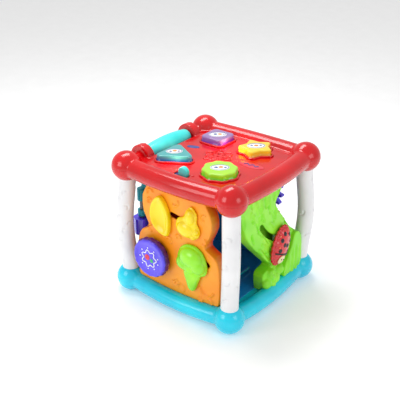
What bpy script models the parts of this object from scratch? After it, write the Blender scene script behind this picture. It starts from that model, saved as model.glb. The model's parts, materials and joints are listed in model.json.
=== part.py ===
"""A baby activity cube: a red top and a cyan base held apart by four posts, with a play panel on each side.

Frame: metres, +Z up, origin at the centre of the footprint on the floor.
-Y is the orange front, +X the green side with the ladybird, -X the teal side, +Y the side with the gears.
"""
import math

import bmesh
import bpy
from mathutils import Matrix, Vector

MM = 0.001
GAP = 0.3 * MM             # between pieces that meet
RUNNING_GAP = 0.5 * MM     # between pieces that move past each other

# Frame of the cube
SPACING = 128 * MM         # between corner ball centres, each way
TOP_BALL_Z = 141.4 * MM
BASE_BALL_Z = 14.2 * MM
BALL_RADIUS = 15.2 * MM
TOP_RAIL_RADIUS = 10 * MM
TOP_RAIL_DROP = 0.8 * MM
BASE_RAIL_RADIUS = 9 * MM
BASE_RAIL_DROP = 3.5 * MM
RAIL_BOW = 4 * MM
WALL = 2.4 * MM
RAIL_HOLLOW_WALL = 3 * MM

# Posts
POST_RADIUS = 8.75 * MM
POST_BORE = 5.8 * MM
POST_BOW = 4 * MM
POST_SEAT = 7.8 * MM       # how deep a post stands in its ball
SPIGOT_LENGTH = 21 * MM    # beyond the post's end

# Top housing
PANEL_TOP = TOP_BALL_Z + 3.1 * MM
TOP_SPLIT = PANEL_TOP - WALL - 0.1 * MM
TOP_FLOOR = TOP_BALL_Z - 10.4 * MM
RIM_HEIGHT = 2.4 * MM
RIM_WALL = 1.6 * MM

# Shape buttons: outlines are set in the section that makes them
BUTTON_TOP = PANEL_TOP + 7 * MM
BUTTON_FLANGE = 1.2 * MM
BUTTON_TRAVEL = 2 * MM
BUTTON_HOLE_GAP = 0.4 * MM

# Electronics
BOARD_THICKNESS = 1.6 * MM
MAT_THICKNESS = 0.8 * MM
DOME_RADIUS = 5 * MM
SPEAKER_RADIUS = 15 * MM
SPEAKER_AT = (-2 * MM, 4 * MM)
GRILLE_HOLE = 1.5 * MM

# Volume slider
KNOB_SIZE = (10.8 * MM, 5.2 * MM, 9.4 * MM)
KNOB_TRAVEL = 5 * MM
KNOB_AT = (-1 * MM, -52 * MM)

# Roller
ROLLER_MID_RADIUS = 10.4 * MM
ROLLER_END_RADIUS = 7.8 * MM
ROLLER_HALF = 32.4 * MM
ROLLER_AXLE_RADIUS = 2 * MM
FLANGE_RADIUS = 12.8 * MM
FLANGE_WIDTH = 9 * MM
STUB_RADIUS = 6.5 * MM

# Base
BASE_SPLIT = 9 * MM
BASE_FLOOR = 14 * MM
BASE_UNDERSIDE = 3 * MM
CELL_RADIUS = 5.2 * MM
CELL_LENGTH = 44.5 * MM
BATTERY_WALL = 1.5 * MM
LEAD_RADIUS = 1.2 * MM

# Side panels
PANEL_DEPTH = 13 * MM
TAB_SIZE = (8 * MM, 2.6 * MM)
PIN_RADIUS = 2 * MM
TOY_GAP = 0.6 * MM         # between a toy and the panel it slides over

# Front panel toys
BROCCOLI_SWING = (math.radians(-24), math.radians(10))
MUSIC_RADIUS = 21.5 * MM
MUSIC_THICKNESS = 7.5 * MM
MUSIC_TRAVEL = 2.5 * MM
NECK_RADIUS = 2.2 * MM

# Ladybird
TRACK_RADIUS = 70 * MM
LADYBIRD_HALF = (22 * MM, 15 * MM)
LADYBIRD_HEIGHT = 9 * MM

# Left and back toys
SPINNER_RADIUS = 9.4 * MM
BLOSSOM_RADIUS = 26 * MM
GEAR_MODULE = 3 * MM
LARGE_TEETH = 14
SMALL_TEETH = 12
GEAR_THICKNESS = 6 * MM

# Derived places
HALF = SPACING / 2
PANEL_FACE = HALF + 1 * MM
PANEL_LOW = BASE_FLOOR + GAP
PANEL_HIGH = TOP_FLOOR - GAP
PANEL_RISE = PANEL_HIGH - PANEL_LOW
RAIL_END = HALF - BALL_RADIUS / 4    # a rail ends inside its balls
HOUSING_HALF = HALF - 6 * MM
CAVITY_HALF = HALF - 9 * MM
ROLLER_X = -(HALF + 2 * MM)
ROLLER_SPACE = ROLLER_MID_RADIUS + RUNNING_GAP
POST_LOW = BASE_BALL_Z + math.sqrt(BALL_RADIUS**2 - POST_RADIUS**2)
POST_HIGH = TOP_BALL_Z - math.sqrt(BALL_RADIUS**2 - POST_RADIUS**2)
BOARD_LOW = TOP_FLOOR + WALL + 1 * MM
MAT_LOW = BOARD_LOW + BOARD_THICKNESS + GAP
BUTTON_LOW = TOP_SPLIT - GAP - BUTTON_FLANGE
DOME_TOP = BUTTON_LOW - BUTTON_TRAVEL - GAP

SIDES = {"front": 0, "right": 90, "back": 180, "left": 270}

# ---------------------------------------------------------------- scene and finishes


def clear_scene():
    for old in list(bpy.data.objects):
        bpy.data.objects.remove(old, do_unlink=True)


clear_scene()
CUBE = bpy.data.collections.new("baby_activity_cube")
WORKSHOP = bpy.data.collections.new("cutters_and_guides")
bpy.context.scene.collection.children.link(CUBE)
bpy.context.scene.collection.children.link(WORKSHOP)


def finish(name, colour, roughness=0.35, metallic=0.0):
    material = bpy.data.materials.new(name)
    material.use_nodes = True
    shader = material.node_tree.nodes["Principled BSDF"]
    shader.inputs["Base Color"].default_value = (*colour, 1)
    shader.inputs["Roughness"].default_value = roughness
    shader.inputs["Metallic"].default_value = metallic
    material.diffuse_color = (*colour, 1)
    return material


RED = finish("red_abs", (0.75, 0.01, 0.02), 0.2)
CYAN = finish("cyan_abs", (0.01, 0.6, 0.78), 0.25)
WHITE = finish("white_abs", (0.8, 0.8, 0.8), 0.35)
ORANGE = finish("orange_abs", (1.0, 0.3, 0.01), 0.35)
YELLOW = finish("yellow_abs", (0.9, 0.72, 0.01), 0.3)
LIME = finish("lime_abs", (0.25, 0.8, 0.01), 0.35)
PURPLE = finish("purple_abs", (0.1, 0.05, 0.85), 0.3)
TURQUOISE = finish("turquoise_abs", (0.06, 0.85, 0.75), 0.25)
BLUE = finish("blue_abs", (0.01, 0.25, 0.6), 0.35)
TEAL = finish("teal_abs", (0.01, 0.35, 0.4), 0.35)
CLEAR_BLUE = finish("clear_blue", (0.02, 0.3, 0.5), 0.1)
CLEAR_PURPLE = finish("clear_purple", (0.3, 0.05, 0.45), 0.1)
CLEAR_YELLOW = finish("clear_yellow", (0.85, 0.55, 0.02), 0.1)
CLEAR_GREEN = finish("clear_green", (0.3, 0.75, 0.02), 0.1)
RUBBER = finish("grey_silicone", (0.5, 0.5, 0.5), 0.7)
BOARD = finish("green_laminate", (0.02, 0.2, 0.06), 0.5)
STEEL = finish("zinc_steel", (0.6, 0.6, 0.62), 0.3, 1.0)
DARK = finish("dark_plastic", (0.03, 0.03, 0.04), 0.5)
NAVY = finish("navy_plastic", (0.01, 0.03, 0.2), 0.4)

# ---------------------------------------------------------------- shapes


def new_shape(mesh):
    shape = bpy.data.objects.new("shape", mesh)
    WORKSHOP.objects.link(shape)
    return shape


def from_bmesh(bm):
    mesh = bpy.data.meshes.new("shape")
    bm.to_mesh(mesh)
    bm.free()
    return new_shape(mesh)


def block(low, high):
    """A box between two opposite corners."""
    low = Vector(low)
    high = Vector(high)
    bm = bmesh.new()
    placed = Matrix.Translation((low + high) / 2) @ Matrix.Diagonal((*(high - low), 1))
    bmesh.ops.create_cube(bm, size=1, matrix=placed)
    return from_bmesh(bm)


def rod(start, end, radius, sides=20, end_radius=None):
    """A round bar, or a cone if the end has its own radius."""
    start = Vector(start)
    run = Vector(end) - start
    placed = Matrix.Translation(start + run / 2) @ run.to_track_quat("Z", "Y").to_matrix().to_4x4()
    bm = bmesh.new()
    bmesh.ops.create_cone(
        bm, cap_ends=True, segments=sides, radius1=radius,
        radius2=radius if end_radius is None else end_radius, depth=run.length, matrix=placed)
    return from_bmesh(bm)


def ball(centre, radius, around=16, stretch=(1, 1, 1)):
    bm = bmesh.new()
    placed = Matrix.Translation(centre) @ Matrix.Diagonal((*stretch, 1))
    bmesh.ops.create_uvsphere(
        bm, u_segments=around, v_segments=around // 2, radius=radius, matrix=placed)
    return from_bmesh(bm)


def curve_to_shape(curve):
    """Turn a curve into a closed mesh, with its caps welded on."""
    guide = bpy.data.objects.new("guide", curve)
    WORKSHOP.objects.link(guide)
    bpy.context.view_layer.update()
    evaluated = guide.evaluated_get(bpy.context.evaluated_depsgraph_get())
    mesh = bpy.data.meshes.new_from_object(evaluated)
    bpy.data.objects.remove(guide, do_unlink=True)
    bm = bmesh.new()
    bm.from_mesh(mesh)
    bmesh.ops.remove_doubles(bm, verts=bm.verts, dist=0.001 * MM)
    bmesh.ops.recalc_face_normals(bm, faces=bm.faces)
    bm.to_mesh(mesh)
    bm.free()
    return new_shape(mesh)


def spline(curve, points, closed=False):
    line = curve.splines.new("POLY")
    line.points.add(len(points) - 1)
    for point, place in zip(line.points, points):
        point.co = (*place, 1) if len(place) == 3 else (*place, 0, 1)
    line.use_cyclic_u = closed


def tube(points, radius, resolution=2):
    """A round tube along points."""
    curve = bpy.data.curves.new("tube", "CURVE")
    curve.dimensions = "3D"
    curve.bevel_depth = radius
    curve.bevel_resolution = resolution
    curve.use_fill_caps = True
    spline(curve, points)
    return curve_to_shape(curve)


def prism(outline, low, high):
    """A flat outline in X and Y, raised from low to high along Z."""
    curve = bpy.data.curves.new("outline", "CURVE")
    curve.dimensions = "2D"
    curve.fill_mode = "BOTH"
    curve.extrude = (high - low) / 2
    spline(curve, outline, closed=True)
    shape = curve_to_shape(curve)
    shape.data.transform(Matrix.Translation((0, 0, (high + low) / 2)))
    return shape


def turned(profile, sides=24):
    """A profile of (radius, height) points, top to bottom, turned about Z."""
    mesh = bpy.data.meshes.new("profile")
    edges = [(i, i + 1) for i in range(len(profile) - 1)]
    mesh.from_pydata([(radius, 0, height) for radius, height in profile], edges, [])
    shape = new_shape(mesh)
    screw = shape.modifiers.new("Turn", "SCREW")
    screw.steps = sides
    screw.render_steps = sides
    screw.use_merge_vertices = True
    screw.merge_threshold = 0.001 * MM
    settle(shape)
    return shape


def settle(shape):
    """Apply what is on a shape, and merge the points that a cut leaves side by side."""
    bpy.context.view_layer.update()
    evaluated = shape.evaluated_get(bpy.context.evaluated_depsgraph_get())
    mesh = bpy.data.meshes.new_from_object(evaluated)
    shape.modifiers.clear()
    shape.data = mesh
    bm = bmesh.new()
    bm.from_mesh(mesh)
    bmesh.ops.remove_doubles(bm, verts=bm.verts, dist=0.002 * MM)
    bm.to_mesh(mesh)
    bm.free()


def simplify(mesh):
    """Drop the edges that flat faces don't need, where the body stays closed without them."""
    bm = bmesh.new()
    bm.from_mesh(mesh)
    bmesh.ops.dissolve_limit(
        bm, angle_limit=math.radians(0.1), verts=bm.verts, edges=bm.edges, delimit={"NORMAL"})
    bmesh.ops.triangulate(bm, faces=bm.faces)
    if all(len(edge.link_faces) == 2 for edge in bm.edges):
        bm.to_mesh(mesh)
    bm.free()


def work(shape, tool, operation):
    modifier = shape.modifiers.new("Work", "BOOLEAN")
    modifier.operation = operation
    modifier.solver = "EXACT"
    modifier.object = tool
    settle(shape)
    bpy.data.objects.remove(tool, do_unlink=True)


def add(shape, *tools):
    for tool in tools:
        work(shape, tool, "UNION")
    return shape


def cut(shape, *tools):
    for tool in tools:
        work(shape, tool, "DIFFERENCE")
    return shape


def keep(shape, tool):
    work(shape, tool, "INTERSECT")
    return shape


def moved(shape, matrix):
    shape.data.transform(matrix)
    if matrix.determinant() < 0:
        shape.data.flip_normals()
    return shape


def part(name, shape, material, pivot=(0, 0, 0), side=None):
    """Name a finished shape, give it its colour, and put its origin at its pivot, in its side's frame."""
    pivot = Vector(pivot)
    shape.data.transform(Matrix.Translation(-pivot))
    shape.location = pivot
    if side:
        shape.parent = FRAMES[side]
    simplify(shape.data)
    shape.name = name
    shape.data.name = name
    shape.data.materials.clear()
    shape.data.materials.append(material)
    shape.data.shade_smooth()
    shape.data.set_sharp_from_angle(angle=math.radians(35))
    WORKSHOP.objects.unlink(shape)
    CUBE.objects.link(shape)
    return shape


def side_matrix(side):
    """From a side's own frame to the cube's: X to the right seen from outside, Y up, Z outward."""
    turn = Matrix.Rotation(math.radians(SIDES[side]), 4, "Z")
    return turn @ Matrix.Rotation(math.radians(90), 4, "X")


FRAMES = {}
for side_name in SIDES:
    empty = bpy.data.objects.new(side_name + "_side", None)
    empty.matrix_world = side_matrix(side_name)
    CUBE.objects.link(empty)
    FRAMES[side_name] = empty

# ---------------------------------------------------------------- outlines


def spread(low, high, count):
    return [low + (high - low) * i / (count - 1) for i in range(count)]


def arc(centre, radius, start, end, count):
    """Points on an arc, with its angles in degrees."""
    return [
        (centre[0] + radius * math.cos(math.radians(a)), centre[1] + radius * math.sin(math.radians(a)))
        for a in spread(start, end, count)]


def rounded(corners, radius, steps=4):
    """A polygon with each corner rounded by an arc, anticlockwise."""
    outline = []
    for i, corner in enumerate(corners):
        corner = Vector(corner)
        before = (Vector(corners[i - 1]) - corner).normalized()
        after = (Vector(corners[(i + 1) % len(corners)]) - corner).normalized()
        half = before.angle(after) / 2
        centre = corner + (before + after).normalized() * radius / math.sin(half)
        first = corner + before * radius / math.tan(half) - centre
        last = corner + after * radius / math.tan(half) - centre
        sweep = first.angle_signed(last)
        for step in range(steps + 1):
            turn = Matrix.Rotation(-sweep * step / steps, 2)
            outline.append(tuple(centre + turn @ first))
    return outline


def smooth(points, steps=3):
    """A closed curve through points, with a few more points between each two."""
    outline = []
    count = len(points)
    for i in range(count):
        p = [Vector(points[(i + k - 1) % count]) for k in range(4)]
        for step in range(steps):
            t = step / steps
            outline.append(tuple(
                0.5 * (2 * p[1] + (p[2] - p[0]) * t + (2 * p[0] - 5 * p[1] + 4 * p[2] - p[3]) * t**2
                       + (3 * p[1] - p[0] - 3 * p[2] + p[3]) * t**3)))
    return outline


def grown(outline, distance):
    """An outline moved outward, or inward if the distance is negative. Outlines run anticlockwise."""
    count = len(outline)
    result = []
    for i in range(count):
        before = (Vector(outline[i]) - Vector(outline[i - 1])).normalized()
        after = (Vector(outline[(i + 1) % count]) - Vector(outline[i])).normalized()
        normal = Vector((before.y + after.y, -before.x - after.x)).normalized()
        stretch = 1 / max(0.6, normal.dot(Vector((after.y, -after.x))))
        result.append(tuple(Vector(outline[i]) + normal * distance * stretch))
    return result


def slot(start, end, radius, steps=5):
    """A straight slot with round ends."""
    start = Vector(start)
    end = Vector(end)
    angle = math.degrees(math.atan2(end.y - start.y, end.x - start.x))
    far = arc(end, radius, angle - 90, angle + 90, steps)
    near = arc(start, radius, angle + 90, angle + 270, steps)
    return far + near


def arc_slot(centre, radius, start, end, half_width, steps=8):
    """A slot along an arc, with round ends."""
    inner_end = arc(centre, radius, end, end, 2)[0]
    inner_start = arc(centre, radius, start, start, 2)[0]
    outer = arc(centre, radius + half_width, start, end, steps)
    far = arc(inner_end, half_width, end, end + 180, 5)[1:-1]
    inner = arc(centre, radius - half_width, end, start, steps)
    near = arc(inner_start, half_width, start + 180, start + 360, 5)[1:-1]
    return outer + far + inner + near


def on_panel(points):
    """Panel points given as shares: across, of half the ball spacing, and up, of the panel's rise."""
    return [(x * HALF, PANEL_LOW + z * PANEL_RISE) for x, z in points]


# ---------------------------------------------------------------- rails, posts and corner balls


def rail_path(ball_z, drop, half=RAIL_END, steps=7):
    """The middle line of the front rail, bowed out and down between the balls."""
    path = []
    for x in spread(-half, half, steps):
        bulge = 1 - (x / HALF)**2
        path.append((x, -HALF - RAIL_BOW * bulge, ball_z - drop * bulge))
    return path


def rail(ball_z, drop, radius, side, half=RAIL_END, steps=7):
    shape = tube(rail_path(ball_z, drop, half, steps), radius)
    return moved(shape, Matrix.Rotation(math.radians(SIDES[side]), 4, "Z"))


def corners():
    """The four corners, as signs of X and Y with a name."""
    return {"front_left": (-1, -1), "front_right": (1, -1), "back_right": (1, 1), "back_left": (-1, 1)}


def post_point(corner, z):
    """A point on a post's middle line, which leans out at half height."""
    share = (z - POST_LOW) / (POST_HIGH - POST_LOW)
    lean = POST_BOW / math.sqrt(2) * (1 - (2 * min(1, max(0, share)) - 1)**2)**2
    return (corner[0] * (HALF + lean), corner[1] * (HALF + lean), z)


def post_path(corner, low, high, steps=7):
    return [post_point(corner, z) for z in spread(low, high, steps)]


def post_socket(corner, low, high):
    return tube(post_path(corner, low, high, 3), POST_RADIUS + GAP)


def spigot(corner, low, high):
    return tube(post_path(corner, low, high, 4), POST_BORE - 2 * GAP)


def lead_path():
    """The battery lead: from the battery box, up the back left post, to the board."""
    corner = corners()["back_left"]
    start = Vector((-BOX_HALF.x - 1 * MM, BOX_HALF.y / 2, BASE_UNDERSIDE + WALL + 2 * LEAD_RADIUS))
    straight = start - Vector((5 * MM, 0, 0))
    corner_edge = Vector((-CAVITY_HALF + 2.6 * MM, CAVITY_HALF - 15 * MM, start.z))
    foot = Vector(post_point(corner, POST_LOW - POST_SEAT))
    base_run = [start, straight, straight.lerp(corner_edge, 0.5), corner_edge,
                corner_edge.lerp(foot, 0.6), foot]
    rise = [Vector(p) for p in post_path(corner, POST_LOW, POST_HIGH, 7)]
    head = Vector(post_point(corner, POST_HIGH + POST_SEAT + LEAD_RADIUS))
    end = Vector((-BOARD_HALF - 1.6 * MM, BOARD_HALF + 1.6 * MM, BOARD_LOW + BOARD_THICKNESS))
    over = head.lerp(end, 0.4) + Vector((0, 0, LEAD_RADIUS))
    return base_run + rise + [head, over, end]


# ---------------------------------------------------------------- shape buttons


def lobed(centre, radius, lobes, depth, count):
    """A round outline with shallow lobes."""
    outline = []
    for angle in spread(0, 360 - 360 / count, count):
        reach = radius * (1 + depth * math.cos(math.radians(lobes * angle)))
        outline += arc(centre, reach, angle, angle, 2)[:1]
    return outline


def star(centre, tip, valley, tip_round):
    points = []
    for tip_angle in range(0, 360, 72):
        points += arc(centre, tip, tip_angle, tip_angle, 2)[:1]
        points += arc(centre, valley, tip_angle + 36, tip_angle + 36, 2)[:1]
    return rounded(points, tip_round, 2)


def square(centre, half, corner_round):
    x, y = centre
    return rounded([(x - half, y - half), (x + half, y - half), (x + half, y + half), (x - half, y + half)],
                   corner_round)


def triangle(tip, low, high, corner_round):
    return rounded([low, tip, high], corner_round)


BUTTONS = {
    "triangle": (
        triangle((-8.5 * MM, -25 * MM), (-45.5 * MM, -47 * MM), (-45.5 * MM, -4 * MM), 5 * MM),
        (-33 * MM, -26 * MM), CLEAR_BLUE),
    "square": (square((-27 * MM, 37 * MM), 13.5 * MM, 5 * MM), (-27 * MM, 37 * MM), CLEAR_PURPLE),
    "star": (star((22 * MM, 36.2 * MM), 19.8 * MM, 12.5 * MM, 3 * MM), (22 * MM, 36.2 * MM), CLEAR_YELLOW),
    "flower": (lobed((25 * MM, -29.5 * MM), 17 * MM, 8, 0.04, 40), (25 * MM, -29.5 * MM), CLEAR_GREEN),
}


def make_buttons():
    for name, (outline, centre, material) in BUTTONS.items():
        cap = prism(outline, BUTTON_LOW, BUTTON_TOP)
        flange = prism(grown(outline, BUTTON_HOLE_GAP + 1 * MM), BUTTON_LOW, BUTTON_LOW + BUTTON_FLANGE)
        part("button_" + name, add(cap, flange), material, pivot=(*centre, BUTTON_LOW))


# ---------------------------------------------------------------- top housing


def knob_slot_half():
    return Vector(((KNOB_SIZE[0] + KNOB_TRAVEL) / 2 + RUNNING_GAP, KNOB_SIZE[1] / 2 + RUNNING_GAP))


def knob_slot_centre():
    return Vector((KNOB_AT[0] - KNOB_TRAVEL / 2, KNOB_AT[1]))


def top_solid():
    """The whole red housing as one solid, before it is hollowed and split."""
    back_edge = ROLLER_X + ROLLER_SPACE
    solid = block((back_edge, -HOUSING_HALF, TOP_FLOOR), (HOUSING_HALF, HOUSING_HALF, PANEL_TOP))
    inner = ROLLER_HALF + TOY_GAP
    for side in (-1, 1):
        low, high = sorted((side * inner, side * (HALF - 2 * MM)))
        add(solid, block((ROLLER_X + 4 * MM, low, TOP_FLOOR), (back_edge + 4 * MM, high, PANEL_TOP)))
        hub = (ROLLER_X, side * inner, TOP_SPLIT)
        add(solid, rod(hub, (ROLLER_X, side * (inner + FLANGE_WIDTH), TOP_SPLIT), FLANGE_RADIUS, 24))
        add(solid, rod((ROLLER_X, side * (inner + 4 * MM), TOP_SPLIT), (-HALF, side * HALF, TOP_BALL_Z),
                       STUB_RADIUS, 16))
    for side in ("front", "right", "back"):
        add(solid, rail(TOP_BALL_Z, TOP_RAIL_DROP, TOP_RAIL_RADIUS, side))
    for x, y in corners().values():
        add(solid, ball((x * HALF, y * HALF, TOP_BALL_Z), BALL_RADIUS))
    return solid


def rail_hollows(ball_z, drop, radius, sides):
    half = HALF - BALL_RADIUS - 3 * MM
    return [rail(ball_z, drop, radius - RAIL_HOLLOW_WALL, side, half, 4) for side in sides]


def split(solid, z, upper):
    """Keep what is above or below a level, with half a gap to it."""
    reach = SPACING
    if upper:
        return keep(solid, block((-reach, -reach, z + GAP / 2), (reach, reach, z + 2 * reach)))
    return keep(solid, block((-reach, -reach, z - 2 * reach), (reach, reach, z - GAP / 2)))


def make_top():
    solid = top_solid()
    cut(solid, rod((ROLLER_X, -ROLLER_HALF - 6 * MM, TOP_SPLIT), (ROLLER_X, ROLLER_HALF + 6 * MM, TOP_SPLIT),
                   ROLLER_AXLE_RADIUS + GAP, 12))
    cut(solid, *rail_hollows(TOP_BALL_Z, TOP_RAIL_DROP, TOP_RAIL_RADIUS, ("front", "right", "back")))
    cover = solid.copy()
    cover.data = solid.data.copy()
    WORKSHOP.objects.link(cover)
    split(cover, TOP_SPLIT, True)
    for outline, _, _ in BUTTONS.values():
        rim = grown(outline, BUTTON_HOLE_GAP + RIM_WALL)
        add(cover, prism(rim, PANEL_TOP - 1 * MM, PANEL_TOP + RIM_HEIGHT))
    for outline, _, _ in BUTTONS.values():
        cut(cover, prism(grown(outline, BUTTON_HOLE_GAP), TOP_SPLIT - WALL, BUTTON_TOP))
    centre = knob_slot_centre()
    half = knob_slot_half()
    cut(cover, block((*(centre - half), TOP_SPLIT - WALL), (*(centre + half), BUTTON_TOP)))
    for hole in [SPEAKER_AT] + arc(SPEAKER_AT, 6 * MM, 0, 300, 6):
        cut(cover, rod((*hole, TOP_SPLIT - WALL), (*hole, BUTTON_TOP), GRILLE_HOLE, 8))
    part("top_cover", cover, RED)

    split(solid, TOP_SPLIT, False)
    cut(solid, block((ROLLER_X + ROLLER_SPACE + WALL, -CAVITY_HALF, TOP_FLOOR + WALL),
                     (CAVITY_HALF, CAVITY_HALF, TOP_SPLIT + WALL)))
    for corner in corners().values():
        high = POST_HIGH + POST_SEAT
        cut(solid, post_socket(corner, POST_HIGH - BALL_RADIUS, high))
        add(solid, spigot(corner, POST_HIGH - SPIGOT_LENGTH + POST_SEAT, high + 1 * MM))
    cut(solid, tube(lead_path()[-5:], LEAD_RADIUS + RUNNING_GAP, 1))
    for corner in corners().values():
        cut(solid, post_screw_hole(corner, GAP))
    for side, (_, highs) in PANEL_TABS.items():
        for x in highs:
            cut(solid, tab_cutter(side, x, TOP_FLOOR - GAP))
    part("top_base", solid, RED)


def make_electronics():
    low = BOARD_LOW
    board = block((-BOARD_HALF, -BOARD_HALF, low), (BOARD_HALF, BOARD_HALF, low + BOARD_THICKNESS))
    speaker_hole = rod((*SPEAKER_AT, low - WALL), (*SPEAKER_AT, TOP_SPLIT), SPEAKER_RADIUS + 1 * MM, 16)
    part("circuit_board", cut(board, speaker_hole), BOARD)

    mat = block((-BOARD_HALF, -BOARD_HALF, MAT_LOW), (BOARD_HALF, BOARD_HALF, MAT_LOW + MAT_THICKNESS))
    for _, centre, _ in BUTTONS.values():
        add(mat, rod((*centre, MAT_LOW + MAT_THICKNESS / 2), (*centre, DOME_TOP), DOME_RADIUS, 12,
                     DOME_RADIUS / 2))
    cut(mat, rod((*SPEAKER_AT, low - WALL), (*SPEAKER_AT, TOP_SPLIT), SPEAKER_RADIUS + 1 * MM, 16))
    part("keypad_mat", mat, RUBBER)

    top = TOP_SPLIT - GAP
    bottom = TOP_FLOOR + WALL + GAP
    magnet = SPEAKER_RADIUS * 0.55
    profile = [(0, top), (SPEAKER_RADIUS, top), (SPEAKER_RADIUS, top - 2 * MM),
               (magnet, bottom + 1.7 * MM), (magnet, bottom), (0, bottom)]
    part("speaker", moved(turned(profile, 20), Matrix.Translation((*SPEAKER_AT, 0))), DARK)

    centre = knob_slot_centre()
    half = knob_slot_half() - Vector((RUNNING_GAP, RUNNING_GAP))
    part("volume_switch", block((*(centre - half), MAT_LOW + MAT_THICKNESS + GAP),
                                (*(centre + half), PANEL_TOP - 1 * MM)), NAVY)
    width, depth, height = KNOB_SIZE
    low = PANEL_TOP - 1 * MM + GAP
    high = low + height
    outline = [(-width / 2, low), (width / 2, low)] + arc((0, high - width / 2), width / 2, 0, 180, 9)
    knob = prism(outline, -depth / 2, depth / 2)
    moved(knob, Matrix.Translation((*KNOB_AT, 0)) @ Matrix.Rotation(math.radians(90), 4, "X"))
    part("volume_knob", knob, TURQUOISE, pivot=(*KNOB_AT, low))


def make_roller():
    profile = []
    for y in spread(ROLLER_HALF, -ROLLER_HALF, 7):
        taper = (ROLLER_MID_RADIUS - ROLLER_END_RADIUS) * (y / ROLLER_HALF)**2
        profile.append((ROLLER_MID_RADIUS - taper, y))
    barrel = turned([(0, ROLLER_HALF)] + profile + [(0, -ROLLER_HALF)], 20)
    cut(barrel, rod((0, 0, -SPACING), (0, 0, SPACING), ROLLER_AXLE_RADIUS + GAP, 10))
    place = Matrix.Translation((ROLLER_X, 0, TOP_SPLIT)) @ Matrix.Rotation(math.radians(90), 4, "X")
    part("roller", moved(barrel, place), TURQUOISE, pivot=(ROLLER_X, 0, TOP_SPLIT))
    reach = ROLLER_HALF + 5 * MM
    axle = rod((ROLLER_X, -reach, TOP_SPLIT), (ROLLER_X, reach, TOP_SPLIT), ROLLER_AXLE_RADIUS, 12)
    part("roller_axle", axle, STEEL)


# ---------------------------------------------------------------- posts


SCREW_RADIUS = 1.3 * MM
SCREW_HEAD = 2.8 * MM
POST_SCREW_Z = POST_HIGH - SPIGOT_LENGTH + POST_SEAT + 5 * MM


def post_screw(corner, clearance, reach=0):
    """A screw that goes in from the cube's inside, through a post, into its spigot."""
    middle = Vector(post_point(corner, POST_SCREW_Z))
    inward = Vector((-corner[0], -corner[1], 0)).normalized()
    face = middle + inward * (POST_RADIUS - 0.6 * MM)
    seat = middle + inward * (POST_RADIUS - 2 * MM)
    head = rod(face + inward * reach, seat - inward * clearance, SCREW_HEAD + clearance, 12)
    shank = rod(face, middle + inward * (2.6 * MM - clearance), SCREW_RADIUS + clearance, 8)
    return add(head, shank)


def post_screw_hole(corner, clearance):
    return post_screw(corner, clearance, POST_RADIUS)


def make_posts():
    for name, corner in corners().items():
        low = POST_LOW - POST_SEAT + GAP
        high = POST_HIGH + POST_SEAT - GAP
        post = tube(post_path(corner, low, high, 8), POST_RADIUS)
        cut(post, tube(post_path(corner, low - 2 * MM, high + 2 * MM, 8), POST_BORE))
        cut(post, post_screw_hole(corner, GAP))
        part("post_" + name, post, WHITE)
        part("post_screw_" + name, post_screw(corner, 0), STEEL)


# ---------------------------------------------------------------- base


BOX_HALF = Vector((CELL_LENGTH / 2 + 7.5 * MM, 2 * CELL_RADIUS + 2.5 * MM + BATTERY_WALL * 2))
BOX_LOW = BASE_UNDERSIDE + WALL + GAP
BOX_HIGH = BOX_LOW + 2 * CELL_RADIUS + BATTERY_WALL + 2 * GAP
DOOR_HALF = BOX_HALF - Vector((2 * MM, 2 * MM))
DOOR_SCREW_X = BOX_HALF.x - 4.5 * MM
BOARD_HALF = CAVITY_HALF - 7 * MM
BASE_SCREWS = [(x * (CAVITY_HALF - 9 * MM), y * (CAVITY_HALF - 9 * MM)) for x in (-1, 1) for y in (-1, 1)]


def base_solid():
    low = BASE_UNDERSIDE
    solid = block((-HOUSING_HALF, -HOUSING_HALF, low), (HOUSING_HALF, HOUSING_HALF, BASE_FLOOR))
    for side in SIDES:
        add(solid, rail(BASE_BALL_Z, BASE_RAIL_DROP, BASE_RAIL_RADIUS, side))
    for x, y in corners().values():
        add(solid, ball((x * HALF, y * HALF, BASE_BALL_Z), BALL_RADIUS))
    keep(solid, block((-SPACING, -SPACING, 0), (SPACING, SPACING, SPACING)))
    cut(solid, *rail_hollows(BASE_BALL_Z, BASE_RAIL_DROP, BASE_RAIL_RADIUS, SIDES))
    return solid


def base_screw(x, y, clearance, reach=0):
    low = BASE_UNDERSIDE + 0.2 * MM
    head = rod((x, y, low - reach), (x, y, low + 1.7 * MM + clearance), SCREW_HEAD + clearance, 12)
    shank = rod((x, y, low), (x, y, BASE_FLOOR - 2 * MM + clearance), SCREW_RADIUS + clearance, 8)
    return add(head, shank)


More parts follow.
